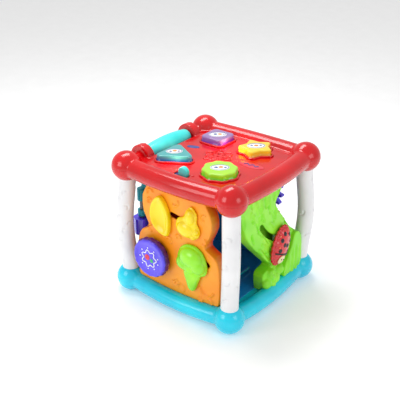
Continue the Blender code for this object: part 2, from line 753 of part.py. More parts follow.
def make_base():
    solid = base_solid()
    upper = solid.copy()
    upper.data = solid.data.copy()
    WORKSHOP.objects.link(upper)
    hump = BOX_HALF + Vector((WALL + GAP, WALL + GAP))
    space = BOX_HALF + Vector((GAP, GAP))
    floor = BASE_FLOOR - WALL
    hump_prism = prism(rounded([(-hump.x, -hump.y), (hump.x, -hump.y), (hump.x, hump.y), (-hump.x, hump.y)],
                               4 * MM), floor, BOX_HIGH + GAP + WALL)
    add(upper, hump_prism)
    split(upper, BASE_SPLIT, True)
    cavity_low = BASE_UNDERSIDE + WALL
    cut(upper, block((-CAVITY_HALF, -CAVITY_HALF, 0), (CAVITY_HALF, CAVITY_HALF, floor)))
    for x, y in BASE_SCREWS:
        add(upper, rod((x, y, BASE_SPLIT + GAP / 2), (x, y, floor + 0.5 * MM), SCREW_HEAD + 1.6 * MM, 12))
    cut(upper, block((*-space, 0), (*space, BOX_HIGH + GAP)))
    for corner in corners().values():
        low = POST_LOW - POST_SEAT
        cut(upper, post_socket(corner, low, POST_LOW + BALL_RADIUS))
        add(upper, spigot(corner, low - 1 * MM, POST_LOW + SPIGOT_LENGTH - POST_SEAT))
    cut(upper, tube(lead_path()[:8], LEAD_RADIUS + RUNNING_GAP, 1))
    for x, y in BASE_SCREWS:
        cut(upper, base_screw(x, y, GAP, 1 * MM))
    for side, (lows, _) in PANEL_TABS.items():
        for x in lows:
            cut(upper, tab_cutter(side, x, 0, BASE_FLOOR + WALL))
    part("base_upper", upper, CYAN)

    split(solid, BASE_SPLIT, False)
    cut(solid, block((-CAVITY_HALF, -CAVITY_HALF, cavity_low), (CAVITY_HALF, CAVITY_HALF, BASE_FLOOR)))
    for x, y in BASE_SCREWS:
        boss = rod((x, y, cavity_low - 0.5 * MM), (x, y, BASE_SPLIT - GAP / 2), SCREW_HEAD + 1.6 * MM, 12)
        add(solid, boss)
        cut(solid, base_screw(x, y, GAP, 2 * MM))
    opening = DOOR_HALF + Vector((GAP, GAP))
    cut(solid, block((*-opening, 0), (*opening, BASE_FLOOR)))
    cut(solid, tube(lead_path()[:8], LEAD_RADIUS + RUNNING_GAP, 1))
    part("base_lower", solid, CYAN)
    for number, (x, y) in enumerate(BASE_SCREWS, 1):
        part("base_screw_" + str(number), base_screw(x, y, 0), STEEL)


def make_battery():
    box = block((*-BOX_HALF, BOX_LOW), (*BOX_HALF, BOX_HIGH))
    room = Vector((CELL_LENGTH / 2 + 1 * MM, BOX_HALF.y - BATTERY_WALL))
    shift = Vector((-BOX_HALF.x + BATTERY_WALL + room.x, 0))
    cut(box, block((*(shift - room), BOX_LOW - WALL), (*(shift + room), BOX_HIGH - BATTERY_WALL)))
    screw_top = BOX_LOW + 5 * MM
    screw_low = BASE_UNDERSIDE + 0.3 * MM
    cut(box, rod((DOOR_SCREW_X, 0, 0), (DOOR_SCREW_X, 0, screw_top + GAP), SCREW_RADIUS + GAP, 8))
    part("battery_box", box, DARK)
    cell_z = BOX_LOW + CELL_RADIUS + GAP
    for number, y in enumerate((-1, 1), 1):
        place = y * (CELL_RADIUS + 1 * MM)
        tip = shift.x + CELL_LENGTH / 2
        cell = rod((tip - CELL_LENGTH, place, cell_z), (tip - 1 * MM, place, cell_z), CELL_RADIUS, 16)
        add(cell, rod((shift.x, place, cell_z), (tip, place, cell_z), CELL_RADIUS * 0.36, 8))
        part("cell_" + str(number), cell, DARK)
    door = block((*-DOOR_HALF, BASE_UNDERSIDE), (*DOOR_HALF, BASE_UNDERSIDE + WALL - GAP))
    cut(door, rod((DOOR_SCREW_X, 0, 0), (DOOR_SCREW_X, 0, BASE_FLOOR), SCREW_RADIUS + GAP, 8))
    cut(door, rod((DOOR_SCREW_X, 0, 0), (DOOR_SCREW_X, 0, screw_low + 1 * MM + GAP), SCREW_HEAD + GAP, 12))
    part("battery_door", door, CYAN)
    head = rod((DOOR_SCREW_X, 0, screw_low), (DOOR_SCREW_X, 0, screw_low + 1 * MM), SCREW_HEAD, 12)
    add(head, rod((DOOR_SCREW_X, 0, screw_low), (DOOR_SCREW_X, 0, screw_top), SCREW_RADIUS, 8))
    part("battery_door_screw", head, STEEL)
    part("battery_lead", tube(lead_path(), LEAD_RADIUS, 1), DARK)


# ---------------------------------------------------------------- side panels


# Each panel: its outline in shares of half the ball spacing and of its rise, then where its tabs stand
PANEL_OUTLINES = {
    "front": [(-0.60, -0.30), (0.60, -0.30), (0.77, -0.06), (0.81, 0.15), (0.80, 0.42), (0.71, 0.52),
              (0.54, 0.57), (0.58, 0.65), (0.66, 0.76), (0.64, 0.88), (0.52, 1.0), (0.45, 1.15),
              (-0.45, 1.15),
              (-0.56, 1.0), (-0.68, 0.88), (-0.67, 0.72), (-0.55, 0.59), (-0.71, 0.54),
              (-0.80, 0.42),
              (-0.81, 0.15), (-0.77, -0.06)],
    "right": [(0.02, -0.30), (0.74, -0.30), (0.86, -0.05), (0.89, 0.12), (0.88, 0.28), (0.83, 0.39),
              (0.72, 0.45), (0.59, 0.51), (0.39, 0.65), (0.18, 0.79), (0.19, 0.86), (0.30, 0.92),
              (0.31, 1.15),
              (-0.78, 1.15), (-0.78, 0.92), (-0.70, 0.77), (-0.60, 0.65), (-0.45, 0.54), (-0.24, 0.42),
              (-0.02, 0.295), (0.12, 0.215), (0.02, 0.20), (-0.10, 0.18), (-0.12, 0.10), (-0.06, -0.06)],
    "back": [(-0.40, -0.30), (0.60, -0.30), (0.76, -0.06), (0.80, 0.20), (0.66, 0.40), (0.60, 0.62),
             (0.66, 0.82), (0.58, 1.15), (-0.36, 1.15), (-0.40, 0.85), (-0.34, 0.64), (-0.36, 0.46),
             (-0.46, 0.28),
             (-0.50, 0.16), (-0.53, -0.04)],
    "left": [(-0.60, -0.30), (0.44, -0.30), (0.57, -0.06), (0.60, 0.15), (0.53, 0.42), (0.55, 0.62),
             (0.66, 0.78), (0.66, 0.92), (0.50, 1.15), (-0.62, 1.15), (-0.72, 0.84), (-0.66, 0.62),
             (-0.77, 0.40),
             (-0.79, 0.15), (-0.75, -0.06)],
}
PANEL_TABS = {
    "front": ((-20 * MM, 20 * MM), (-18 * MM, 18 * MM)),
    "right": ((10 * MM, 40 * MM), (-34 * MM, 6 * MM)),
    "back": ((-20 * MM, 30 * MM), (-10 * MM, 20 * MM)),
    "left": ((-30 * MM, 20 * MM), (-20 * MM, 20 * MM)),
}
TAB_NEAR = PANEL_FACE - PANEL_DEPTH + 3.6 * MM


def tab(side, x, low, high, clearance=0):
    width, depth = TAB_SIZE
    shape = block((x - width / 2 - clearance, low, TAB_NEAR - depth / 2 - clearance),
                  (x + width / 2 + clearance, high, TAB_NEAR + depth / 2 + clearance))
    return moved(shape, side_matrix(side))


def tab_cutter(side, x, low, high=None):
    return tab(side, x, low, TOP_FLOOR + 2 * WALL if high is None else high, GAP)


def panel_outline(side):
    return smooth(on_panel(PANEL_OUTLINES[side]), 2)


def panel_slice(side, inset, low, high):
    """A slice of a panel between two distances from the cube's middle, in the cube's frame."""
    shape = prism(grown(panel_outline(side), -inset), low, high)
    keep(shape, block((-SPACING, PANEL_LOW + inset, 0), (SPACING, PANEL_HIGH - inset, SPACING)))
    return moved(shape, side_matrix(side))


def at_side(side, shape):
    return moved(shape, side_matrix(side))


def frame_room(side):
    """The space that a panel leaves for the rail, balls and posts around it."""
    room = [rail(BASE_BALL_Z, BASE_RAIL_DROP, BASE_RAIL_RADIUS + GAP, side)]
    for x in (-1, 1):
        room.append(at_side(side, ball((x * HALF, BASE_BALL_Z, HALF), BALL_RADIUS + 3 * GAP)))
        room.append(at_side(side, ball((x * HALF, TOP_BALL_Z, HALF), BALL_RADIUS + 2 * GAP)))
        corner = side_matrix(side) @ Vector((x, 0, 1))
        path = post_path((round(corner.x), round(corner.y)), POST_LOW - POST_SEAT, POST_HIGH, 9)
        room.append(tube(path, POST_RADIUS + RUNNING_GAP))
    if side == "left":
        reach = ROLLER_HALF + TOY_GAP + FLANGE_WIDTH + GAP
        room.append(at_side(side, rod((-reach, TOP_SPLIT, -ROLLER_X), (reach, TOP_SPLIT, -ROLLER_X),
                                      FLANGE_RADIUS + GAP, 24)))
    return room


def panel_shell(side, extras=(), wells=()):
    """A panel's shell: an open-backed moulding that stands on the floor behind its rail."""
    back = PANEL_FACE - PANEL_DEPTH
    shell = panel_slice(side, 0, back, PANEL_FACE)
    for extra in extras:
        add(shell, at_side(side, extra))
    cut(shell, *frame_room(side))
    cut(shell, panel_slice(side, WALL, back - WALL, PANEL_FACE - WALL))
    lows, highs = PANEL_TABS[side]
    for x in lows:
        add(shell, tab(side, x, PANEL_LOW - WALL, PANEL_LOW + WALL / 2))
    for x in highs:
        add(shell, tab(side, x, PANEL_HIGH - WALL / 2, PANEL_HIGH + WALL))
    for well in wells:
        cut(shell, at_side(side, well))
    return shell


def side_part(name, shape, material, side, pivot=(0, 0, 0)):
    """A shape made in the cube's frame becomes a part in its side's frame."""
    shape.data.transform(FRAMES[side].matrix_world.inverted())
    return part(name, shape, material, pivot, side)


def panel_back(side):
    """The flat cover that closes a panel's shell from inside the cube."""
    back = PANEL_FACE - PANEL_DEPTH
    return cut(panel_slice(side, WALL + GAP, back + GAP, back + WALL), *frame_room(side))


def collar(point, near, far):
    """A washer behind a slot that keeps a sliding toy on its panel."""
    ring = rod((*point, near), (*point, far), NECK_RADIUS * 2.3, 14)
    return cut(ring, rod((*point, near - WALL), (*point, far + WALL), NECK_RADIUS + GAP, 10))


def pin(point, near, far, head=True):
    """A pin through a toy into its panel, with its head outside."""
    shape = rod((*point, near), (*point, far), PIN_RADIUS, 10)
    if head:
        add(shape, rod((*point, far - 1.5 * MM), (*point, far), PIN_RADIUS * 2, 14))
    return shape


def hole(point, radius, near=None, far=None, sides=12):
    near = PANEL_FACE - 3 * WALL if near is None else near
    far = PANEL_FACE + WALL if far is None else far
    return rod((*point, near), (*point, far), radius, sides)


TOY_LOW = PANEL_FACE + TOY_GAP
COLLAR_NEAR = PANEL_FACE - WALL - TOY_GAP - 2.2 * MM
COLLAR_FAR = PANEL_FACE - WALL - TOY_GAP
NECK_NEAR = COLLAR_NEAR - 1 * MM

# Front toys, in the front side's frame
PEAR_NECK = (9 * MM, 103 * MM)
PEAR_SLOPE = math.radians(-8.5)
PEAR_SLOT_REACH = 15.6 * MM    # past the place where the pear meets the banana
BROCCOLI_PIVOT = (20.6 * MM, 36 * MM)
BROCCOLI_ARM = 33 * MM
MUSIC_AT = (-28 * MM, 53 * MM)
MUSIC_HUB = 15.8 * MM
BANANA_PEG = (-18 * MM, 102 * MM)
SPRING_RADIUS = 5 * MM


def millimetres(points):
    return [(x * MM, y * MM) for x, y in points]


def make_front():
    neck = Vector(PEAR_NECK)
    slide = Vector((-math.cos(PEAR_SLOPE), -math.sin(PEAR_SLOPE)))
    pear_slot = slot(neck + slide * PEAR_SLOT_REACH, neck, NECK_RADIUS + RUNNING_GAP)
    low, high = (math.degrees(angle) for angle in BROCCOLI_SWING)
    swing_slot = arc_slot(BROCCOLI_PIVOT, BROCCOLI_ARM, 90 + low - 7, 90 + high + 1,
                          NECK_RADIUS + RUNNING_GAP)
    near = PANEL_FACE - 3 * WALL
    far = PANEL_FACE + WALL
    wells = [prism(pear_slot, near, far), prism(swing_slot, near, far),
             hole(MUSIC_AT, MUSIC_HUB + RUNNING_GAP, sides=28), hole(BANANA_PEG, NECK_RADIUS + GAP),
             hole(BROCCOLI_PIVOT, PIN_RADIUS + GAP)]
    side_part("front_panel", panel_shell("front", wells=wells), ORANGE, "front")
    side_part("front_panel_cover", panel_back("front"), ORANGE, "front")

    outline = smooth(millimetres([(-9, 82.5), (-6.5, 92), (-6.5, 104), (-11, 116), (-17, 123), (-23, 121),
                                  (-28.5, 112), (-30, 100), (-26, 89), (-17, 83)]), 2)
    banana = prism(outline, PANEL_FACE + GAP, PANEL_FACE + 6 * MM)
    cut(banana, ball((-18 * MM, 102 * MM, PANEL_FACE + 8 * MM), 1 * MM, 16, (8, 15, 4)))
    add(banana, rod((*BANANA_PEG, NECK_NEAR), (*BANANA_PEG, PANEL_FACE + 2 * MM), NECK_RADIUS, 10))
    part("banana", banana, YELLOW, (*BANANA_PEG, PANEL_FACE), "front")

    outline = smooth(millimetres([(12, 88.5), (21, 88.5), (28, 92), (29.5, 100), (26, 107), (26, 116),
                                  (20, 122.5), (14, 118), (10, 110), (3, 106), (0.5, 98), (4, 91)]), 2)
    pear = prism(outline, TOY_LOW, PANEL_FACE + 5 * MM)
    add(pear, prism(grown(outline, -2.5 * MM), PANEL_FACE + 4 * MM, PANEL_FACE + 9 * MM))
    add(pear, rod((*PEAR_NECK, NECK_NEAR), (*PEAR_NECK, PANEL_FACE + 2 * MM), NECK_RADIUS, 10))
    part("pear", pear, YELLOW, (*PEAR_NECK, PANEL_FACE), "front")
    part("pear_retainer", collar(PEAR_NECK, COLLAR_NEAR, COLLAR_FAR), WHITE,
         (*PEAR_NECK, COLLAR_NEAR), "front")

    head = smooth(millimetres([(12, 50), (29, 50), (37, 54), (38.5, 64), (34, 75), (26, 81), (15, 81),
                               (7, 76), (3, 67), (2.5, 58), (5, 52)]), 2)
    stem = smooth(millimetres([(18, 32), (23, 32), (26, 40), (27.5, 53), (14, 53), (15.5, 40)]), 2)
    broccoli = prism(head, TOY_LOW, PANEL_FACE + 6 * MM)
    add(broccoli, prism(grown(head, -3 * MM), PANEL_FACE + 5 * MM, PANEL_FACE + 12 * MM))
    add(broccoli, prism(stem, TOY_LOW, PANEL_FACE + 8 * MM))
    knob = (BROCCOLI_PIVOT[0], BROCCOLI_PIVOT[1] + BROCCOLI_ARM)
    add(broccoli, rod((*knob, NECK_NEAR), (*knob, PANEL_FACE + 2 * MM), NECK_RADIUS, 10))
    cut(broccoli, hole(BROCCOLI_PIVOT, PIN_RADIUS + GAP, near, PANEL_FACE + 5 * MM))
    part("broccoli", broccoli, LIME, (*BROCCOLI_PIVOT, PANEL_FACE), "front")
    part("broccoli_retainer", collar(knob, COLLAR_NEAR, COLLAR_FAR), WHITE,
         (*BROCCOLI_PIVOT, COLLAR_NEAR), "front")
    swing_pin = rod((*BROCCOLI_PIVOT, COLLAR_NEAR), (*BROCCOLI_PIVOT, PANEL_FACE + 4.5 * MM), PIN_RADIUS, 10)
    add(swing_pin, rod((*BROCCOLI_PIVOT, COLLAR_NEAR), (*BROCCOLI_PIVOT, COLLAR_FAR), PIN_RADIUS * 2, 14))
    part("broccoli_pin", swing_pin, STEEL, (*BROCCOLI_PIVOT, COLLAR_NEAR), "front")
    make_music_button()


def make_music_button():
    under = PANEL_FACE + MUSIC_TRAVEL + 1 * MM
    top = under + MUSIC_THICKNESS
    hub_low = PANEL_FACE - WALL - 3 * MM
    profile = [(0, top), (MUSIC_RADIUS - 1.5 * MM, top), (MUSIC_RADIUS, top - 1.5 * MM),
               (MUSIC_RADIUS, under), (MUSIC_HUB, under), (MUSIC_HUB, hub_low),
               (SPRING_RADIUS + 2 * MM, hub_low),
               (SPRING_RADIUS + 2 * MM, PANEL_FACE + 1.2 * MM), (0, PANEL_FACE + 1.2 * MM)]
    button = moved(turned(profile, 28), Matrix.Translation((*MUSIC_AT, 0)))
    part("music_button", button, PURPLE, (*MUSIC_AT, hub_low), "front")
    cover = PANEL_FACE - PANEL_DEPTH + WALL
    switch_top = cover + GAP + 1.6 * MM
    x, y = MUSIC_AT
    switch = block((x - 12 * MM, y - 9 * MM, cover + GAP), (x + 12 * MM, y + 9 * MM, switch_top))
    part("music_button_switch", switch, BOARD, (*MUSIC_AT, cover), "front")
    wire = 0.6 * MM
    low = switch_top + wire + GAP
    high = PANEL_FACE + 1.2 * MM - MUSIC_TRAVEL - wire - GAP
    turns = 3
    steps = turns * 8
    coil = []
    for step in range(steps + 1):
        angle = 2 * math.pi * step / 8
        coil.append((x + SPRING_RADIUS * math.cos(angle), y + SPRING_RADIUS * math.sin(angle),
                     low + (high - low) * step / steps))
    part("music_button_spring", tube(coil, wire, 0), STEEL, (*MUSIC_AT, low), "front")


# Ladybird's track, in the right side's frame
TRACK_CENTRE = (45.5 * MM, 131.2 * MM)
LADYBIRD_ANGLE = 248
LADYBIRD_SWING = 32
LADYBIRD_OFFSET = 6 * MM


def on_track(angle, radius=TRACK_RADIUS):
    return arc(TRACK_CENTRE, radius, angle, angle, 2)[0]


def make_right():
    near = PANEL_FACE - 3 * WALL
    far = PANEL_FACE + WALL
    low = LADYBIRD_ANGLE - LADYBIRD_SWING - 2
    high = LADYBIRD_ANGLE + 2
    groove = prism(arc_slot(TRACK_CENTRE, TRACK_RADIUS, low, high, NECK_RADIUS + 2.2 * MM),
                   PANEL_FACE - 1.2 * MM, far)
    through = prism(arc_slot(TRACK_CENTRE, TRACK_RADIUS, low, high, NECK_RADIUS + RUNNING_GAP), near, far)
    bush = smooth(millimetres([(25, 16), (40, 14), (55, 16), (57, 30), (57, 46), (54, 59), (46, 65),
                               (41, 63), (37, 51), (30, 40), (25, 28)]), 2)
    extras = [prism(bush, PANEL_FACE - 5 * MM, PANEL_FACE + 5.5 * MM),
              ball((2 * MM, 27 * MM, PANEL_FACE - 5 * MM), 1 * MM, 14, (10, 11, 8)),
              ball((16 * MM, 27 * MM, PANEL_FACE - 4 * MM), 1 * MM, 14, (10, 9, 8))]
    shell = panel_shell("right", extras, [groove, through])
    side_part("right_panel", shell, LIME, "right")
    side_part("right_panel_cover", panel_back("right"), LIME, "right")

    neck = on_track(LADYBIRD_ANGLE)
    centre = on_track(LADYBIRD_ANGLE, TRACK_RADIUS + LADYBIRD_OFFSET)
    underside = PANEL_FACE + 1.6 * MM
    long_half, short_half = LADYBIRD_HALF
    shape = ball((0, 0, 0), 1 * MM, 20, (long_half / MM, short_half / MM, LADYBIRD_HEIGHT / MM))
    keep(shape, block((-SPACING, -SPACING, 0.5 * MM), (SPACING, SPACING, SPACING)))
    turn = Matrix.Rotation(math.radians(LADYBIRD_ANGLE), 4, "Z")
    moved(shape, Matrix.Translation((*centre, underside - 0.5 * MM)) @ turn)
    add(shape, rod((*neck, NECK_NEAR), (*neck, underside + 2 * MM), NECK_RADIUS, 10))
    part("ladybird", shape, RED, (*TRACK_CENTRE, PANEL_FACE), "right")
    part("ladybird_retainer", collar(neck, COLLAR_NEAR, COLLAR_FAR), WHITE,
         (*TRACK_CENTRE, COLLAR_NEAR), "right")


# Left toys
SPINNER_X = HALF - 17.5 * MM
SPINNER_ROOT = on_panel([(0.445, 0)])[0][0]    # where its lugs grow out of the panel
SPINNER_W = PANEL_FACE - 3 * MM
SPINNER_SPAN = (60 * MM, 78 * MM)
SPINNER_LUGS = ((50 * MM, 58.5 * MM), (79.5 * MM, 87 * MM), (97 * MM, 111 * MM))
BLOSSOM_AT = (-6 * MM, 72 * MM)


def upright(x, w, low, high, radius, sides=14):
    return rod((x, low, w), (x, high, w), radius, sides)


def make_left():
    lugs = []
    for low, high in SPINNER_LUGS:
        lugs.append(upright(SPINNER_X, SPINNER_W, low, high, PIN_RADIUS * 2.2))
        lugs.append(block((SPINNER_ROOT, low, SPINNER_W - 3 * MM), (SPINNER_X, high, SPINNER_W + 2.5 * MM)))
    low = SPINNER_LUGS[0][0] + 2 * MM
    high = SPINNER_LUGS[-1][1] - 2 * MM
    wells = [upright(SPINNER_X, SPINNER_W, low - GAP, high + GAP, PIN_RADIUS + GAP, 12),
             hole(BLOSSOM_AT, PIN_RADIUS + GAP)]
    shell = panel_shell("left", lugs, wells)
    side_part("left_panel", shell, TEAL, "left")
    side_part("left_panel_cover", panel_back("left"), TEAL, "left")
    axle = upright(SPINNER_X, SPINNER_W, low, high, PIN_RADIUS, 10)
    part("spinner_axle", axle, STEEL, (SPINNER_X, low, SPINNER_W), "left")
    outline = lobed((0, 0), SPINNER_RADIUS - 0.6 * MM, 6, 0.06, 24)
    spinner = prism(outline, *SPINNER_SPAN)
    cut(spinner, rod((0, 0, 0), (0, 0, SPACING), PIN_RADIUS + GAP, 10))
    upright_turn = Matrix.Rotation(math.radians(-90), 4, "X")
    moved(spinner, Matrix.Translation((SPINNER_X, 0, SPINNER_W)) @ upright_turn)
    part("spinner", spinner, PURPLE, (SPINNER_X, SPINNER_SPAN[0], SPINNER_W), "left")
    outline = lobed(BLOSSOM_AT, BLOSSOM_RADIUS * 0.9, 8, 0.11, 40)
    blossom = prism(outline, PANEL_FACE + TOY_GAP, PANEL_FACE + 6 * MM)
    cut(blossom, hole(BLOSSOM_AT, PIN_RADIUS + GAP, PANEL_FACE, PANEL_FACE + SPACING))
    part("blossom", blossom, YELLOW, (*BLOSSOM_AT, PANEL_FACE), "left")
    blossom_pin = pin(BLOSSOM_AT, PANEL_FACE - WALL - 3 * MM, PANEL_FACE + 6 * MM + GAP + 1.5 * MM)
    part("blossom_pin", blossom_pin, STEEL, (*BLOSSOM_AT, PANEL_FACE), "left")


# Back toys: two gears in mesh
LARGE_GEAR_AT = (-14 * MM, 88 * MM)
GEAR_LEAN = math.radians(-99.6)
PITCH_LARGE = GEAR_MODULE * LARGE_TEETH / 2
PITCH_SMALL = GEAR_MODULE * SMALL_TEETH / 2
SMALL_GEAR_AT = (LARGE_GEAR_AT[0] + (PITCH_LARGE + PITCH_SMALL) * math.cos(GEAR_LEAN),
                 LARGE_GEAR_AT[1] + (PITCH_LARGE + PITCH_SMALL) * math.sin(GEAR_LEAN))


def gear_outline(teeth, phase):
    """Broad toy teeth, with the first one's middle at the phase."""
    pitch = GEAR_MODULE * teeth / 2
    outer = pitch + 0.75 * GEAR_MODULE
    root = pitch - 1.05 * GEAR_MODULE
    tooth = 2 * math.pi / teeth
    outline = []
    for number in range(teeth):
        middle = phase + number * tooth
        for offset, radius in ((-0.30, root), (-0.12, outer), (0.12, outer), (0.30, root)):
            angle = middle + offset * tooth
            outline.append((radius * math.cos(angle), radius * math.sin(angle)))
    return outline


def make_gear(name, centre, teeth, phase, material):
    low = PANEL_FACE + TOY_GAP
    high = low + GEAR_THICKNESS
    gear = prism(gear_outline(teeth, phase), low, high)
    moved(gear, Matrix.Translation((*centre, 0)))
    cut(gear, hole(centre, PIN_RADIUS + GAP, PANEL_FACE, PANEL_FACE + SPACING))
    part(name, gear, material, (*centre, PANEL_FACE), "back")
    part(name + "_pin", pin(centre, PANEL_FACE - WALL - 3 * MM, high + GAP + 1.5 * MM), STEEL,
         (*centre, PANEL_FACE), "back")


def make_back():
    wells = [hole(LARGE_GEAR_AT, PIN_RADIUS + GAP), hole(SMALL_GEAR_AT, PIN_RADIUS + GAP)]
    side_part("back_panel", panel_shell("back", wells=wells), BLUE, "back")
    side_part("back_panel_cover", panel_back("back"), BLUE, "back")
    make_gear("large_gear", LARGE_GEAR_AT, LARGE_TEETH, GEAR_LEAN, PURPLE)
    make_gear("small_gear", SMALL_GEAR_AT, SMALL_TEETH, GEAR_LEAN + math.pi + math.pi / SMALL_TEETH, RED)


make_top()
make_buttons()
make_electronics()
make_roller()
make_posts()
make_base()
make_battery()
make_front()
make_right()
make_left()
make_back()
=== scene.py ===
# %% [markdown]
# # A baby activity cube
# A red top and a cyan base are held apart by four bowed posts, with a play panel on each side. The
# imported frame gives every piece's place. This lesson makes the fine mouldings around it: glossy rails,
# lit buttons, an orange play panel with fruit, and a green tree with a ladybird.

# %% Load the frame
import json
import math

import bmesh
import bpy
import numpy as np
from mathutils import Matrix, Vector

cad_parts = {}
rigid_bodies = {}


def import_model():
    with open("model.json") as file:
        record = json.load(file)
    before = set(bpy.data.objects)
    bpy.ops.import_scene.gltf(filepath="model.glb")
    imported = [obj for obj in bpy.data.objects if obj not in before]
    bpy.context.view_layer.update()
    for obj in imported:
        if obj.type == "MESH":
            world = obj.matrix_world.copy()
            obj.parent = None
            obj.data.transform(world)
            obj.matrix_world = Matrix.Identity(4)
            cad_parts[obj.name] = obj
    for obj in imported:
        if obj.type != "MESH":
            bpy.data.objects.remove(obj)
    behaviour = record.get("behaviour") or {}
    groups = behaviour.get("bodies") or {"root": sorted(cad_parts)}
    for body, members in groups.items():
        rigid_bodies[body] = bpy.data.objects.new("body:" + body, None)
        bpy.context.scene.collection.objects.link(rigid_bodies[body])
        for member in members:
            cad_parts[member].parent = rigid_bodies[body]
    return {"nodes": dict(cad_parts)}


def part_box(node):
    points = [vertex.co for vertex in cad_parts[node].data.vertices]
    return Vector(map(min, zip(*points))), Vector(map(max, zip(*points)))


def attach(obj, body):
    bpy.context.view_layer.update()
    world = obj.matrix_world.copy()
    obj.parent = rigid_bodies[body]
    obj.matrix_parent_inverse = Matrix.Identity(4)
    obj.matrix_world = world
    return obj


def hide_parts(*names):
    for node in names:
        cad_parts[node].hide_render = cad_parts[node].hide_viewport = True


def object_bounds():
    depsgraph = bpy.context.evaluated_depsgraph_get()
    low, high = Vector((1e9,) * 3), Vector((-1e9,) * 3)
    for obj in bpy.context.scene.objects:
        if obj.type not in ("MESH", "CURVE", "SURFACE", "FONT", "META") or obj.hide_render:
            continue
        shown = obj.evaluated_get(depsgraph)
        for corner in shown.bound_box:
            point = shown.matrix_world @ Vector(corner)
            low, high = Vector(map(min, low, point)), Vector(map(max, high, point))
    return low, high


for leftover in list(bpy.data.objects):
    bpy.data.objects.remove(leftover, do_unlink=True)

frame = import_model()
CAD_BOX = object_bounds()
MM = 0.001
print("frame loaded:", len(frame["nodes"]), "nodes")

# %% [markdown]
# ## Places
# A few sizes belong to the mouldings themselves. Every other place is read from the frame, so the fine
# pieces stay where the solids are.

# %% Places read from the frame
BALL_RADIUS = 15.2 * MM
BASE_BALL_Z = 14.2 * MM
POST_RADIUS = 8.75 * MM
POST_BOW = 4 * MM
RAIL_BOW = 4 * MM
WALL = 2.4 * MM
SEAM = 0.05 * MM           # the gap left at a seam, on each side of it

HALF = CAD_BOX[1].x - BALL_RADIUS
TOP_BALL_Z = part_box("top_cover")[1].z - BALL_RADIUS
TOP_SPLIT = sum(corner.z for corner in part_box("roller_axle")) / 2
PANEL_TOP = TOP_SPLIT + WALL + 0.1 * MM
BUTTON_LOW, BUTTON_TOP = (corner.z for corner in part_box("button_square"))
TOP_FLOOR = TOP_BALL_Z - 10.4 * MM
PANEL_FACE = HALF + 1 * MM
HOUSING_HALF = HALF - 6 * MM
ROLLER_X = sum(corner.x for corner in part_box("roller_axle")) / 2
ROLLER_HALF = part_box("roller")[1].y
POST_RISE = math.sqrt(BALL_RADIUS**2 - POST_RADIUS**2)
POST_LOW = BASE_BALL_Z + POST_RISE
POST_HIGH = TOP_BALL_Z - POST_RISE
SIDES = {"front": 0, "right": 90, "back": 180, "left": 270}
CORNERS = {"front_left": (-1, -1), "front_right": (1, -1), "back_right": (1, 1), "back_left": (-1, 1)}
print("half spacing", round(HALF / MM, 2), "mm, top balls at", round(TOP_BALL_Z / MM, 2), "mm")

# %% [markdown]
# ## Finishes
# Almost everything here is injection-moulded ABS. The steel mould is either polished, which gives gloss
# and a faint orange peel, or spark-eroded, which gives a satin grain. One function makes both: a slow
# cloud of noise shifts the colour a little, as thick and thin walls do, and a fine noise gives the skin.

# %% Two small helpers
def linear(code):
    """An sRGB hex colour as the linear numbers that a shader takes."""
    channels = [int(code[i:i + 2], 16) / 255 for i in (1, 3, 5)]
    return tuple(c / 12.92 if c <= 0.04045 else ((c + 0.055) / 1.055)**2.4 for c in channels)


def node(tree, kind, inputs=None, **settings):
    """Add a node with its settings, and give its inputs a value or a link."""
    made = tree.nodes.new(kind)
    for key, value in settings.items():
        setattr(made, key, value)
    for key, value in (inputs or {}).items():
        if isinstance(value, bpy.types.NodeSocket):
            tree.links.new(value, made.inputs[key])
        else:
            made.inputs[key].default_value = value
    return made


# %% Moulded plastic
def moulded(name, dark, light, roughness, grain, relief, coat=0.0, sockets=None, painted_shade=None):
    """Moulded ABS: grain is the skin's pattern size and relief its depth, both in millimetres.

    The last argument is a second, darker colour painted as shade, with the Y places between which it takes
    over.
    """
    material = bpy.data.materials.new(name)
    material.use_nodes = True
    tree = material.node_tree
    shader = tree.nodes["Principled BSDF"]
    place = node(tree, "ShaderNodeTexCoord").outputs["Object"]
    cloud = node(tree, "ShaderNodeTexNoise", {"Vector": place, "Scale": 1 / (28 * MM), "Detail": 2.0})
    tone = node(tree, "ShaderNodeValToRGB", {"Fac": cloud.outputs["Fac"]})
    tone.color_ramp.elements[0].position = 0.3
    tone.color_ramp.elements[0].color = (*linear(dark), 1)
    tone.color_ramp.elements[1].position = 0.7
    tone.color_ramp.elements[1].color = (*linear(light), 1)
    skin = node(tree, "ShaderNodeTexNoise", {"Vector": place, "Scale": 1 / (grain * MM), "Detail": 4.0})
    polish = node(tree, "ShaderNodeMapRange", {
        "Value": skin.outputs["Fac"], "To Min": roughness * 0.8, "To Max": roughness * 1.25})
    bump = node(tree, "ShaderNodeBump", {
        "Height": skin.outputs["Fac"], "Distance": relief * MM, "Strength": 0.35})
    colour = tone.outputs["Color"]
    # Painted shade: the second colour takes over further along Y
    if painted_shade:
        away = node(tree, "ShaderNodeSeparateXYZ", {"Vector": place}).outputs["Y"]
        share = node(tree, "ShaderNodeMapRange", {"Value": away, "From Min": painted_shade[1], "From Max": painted_shade[2]})
        mix = {0: share.outputs["Result"], 6: colour, 7: (*linear(painted_shade[0]), 1)}
        colour = node(tree, "ShaderNodeMix", mix, data_type="RGBA").outputs[2]
    tree.links.new(colour, shader.inputs["Base Color"])
    tree.links.new(polish.outputs["Result"], shader.inputs["Roughness"])
    tree.links.new(bump.outputs["Normal"], shader.inputs["Normal"])
    shader.inputs["IOR"].default_value = 1.53
    shader.inputs["Coat Weight"].default_value = coat
    shader.inputs["Coat Roughness"].default_value = 0.06
    for key, value in (sockets or {}).items():
        shader.inputs[key].default_value = value
    return material


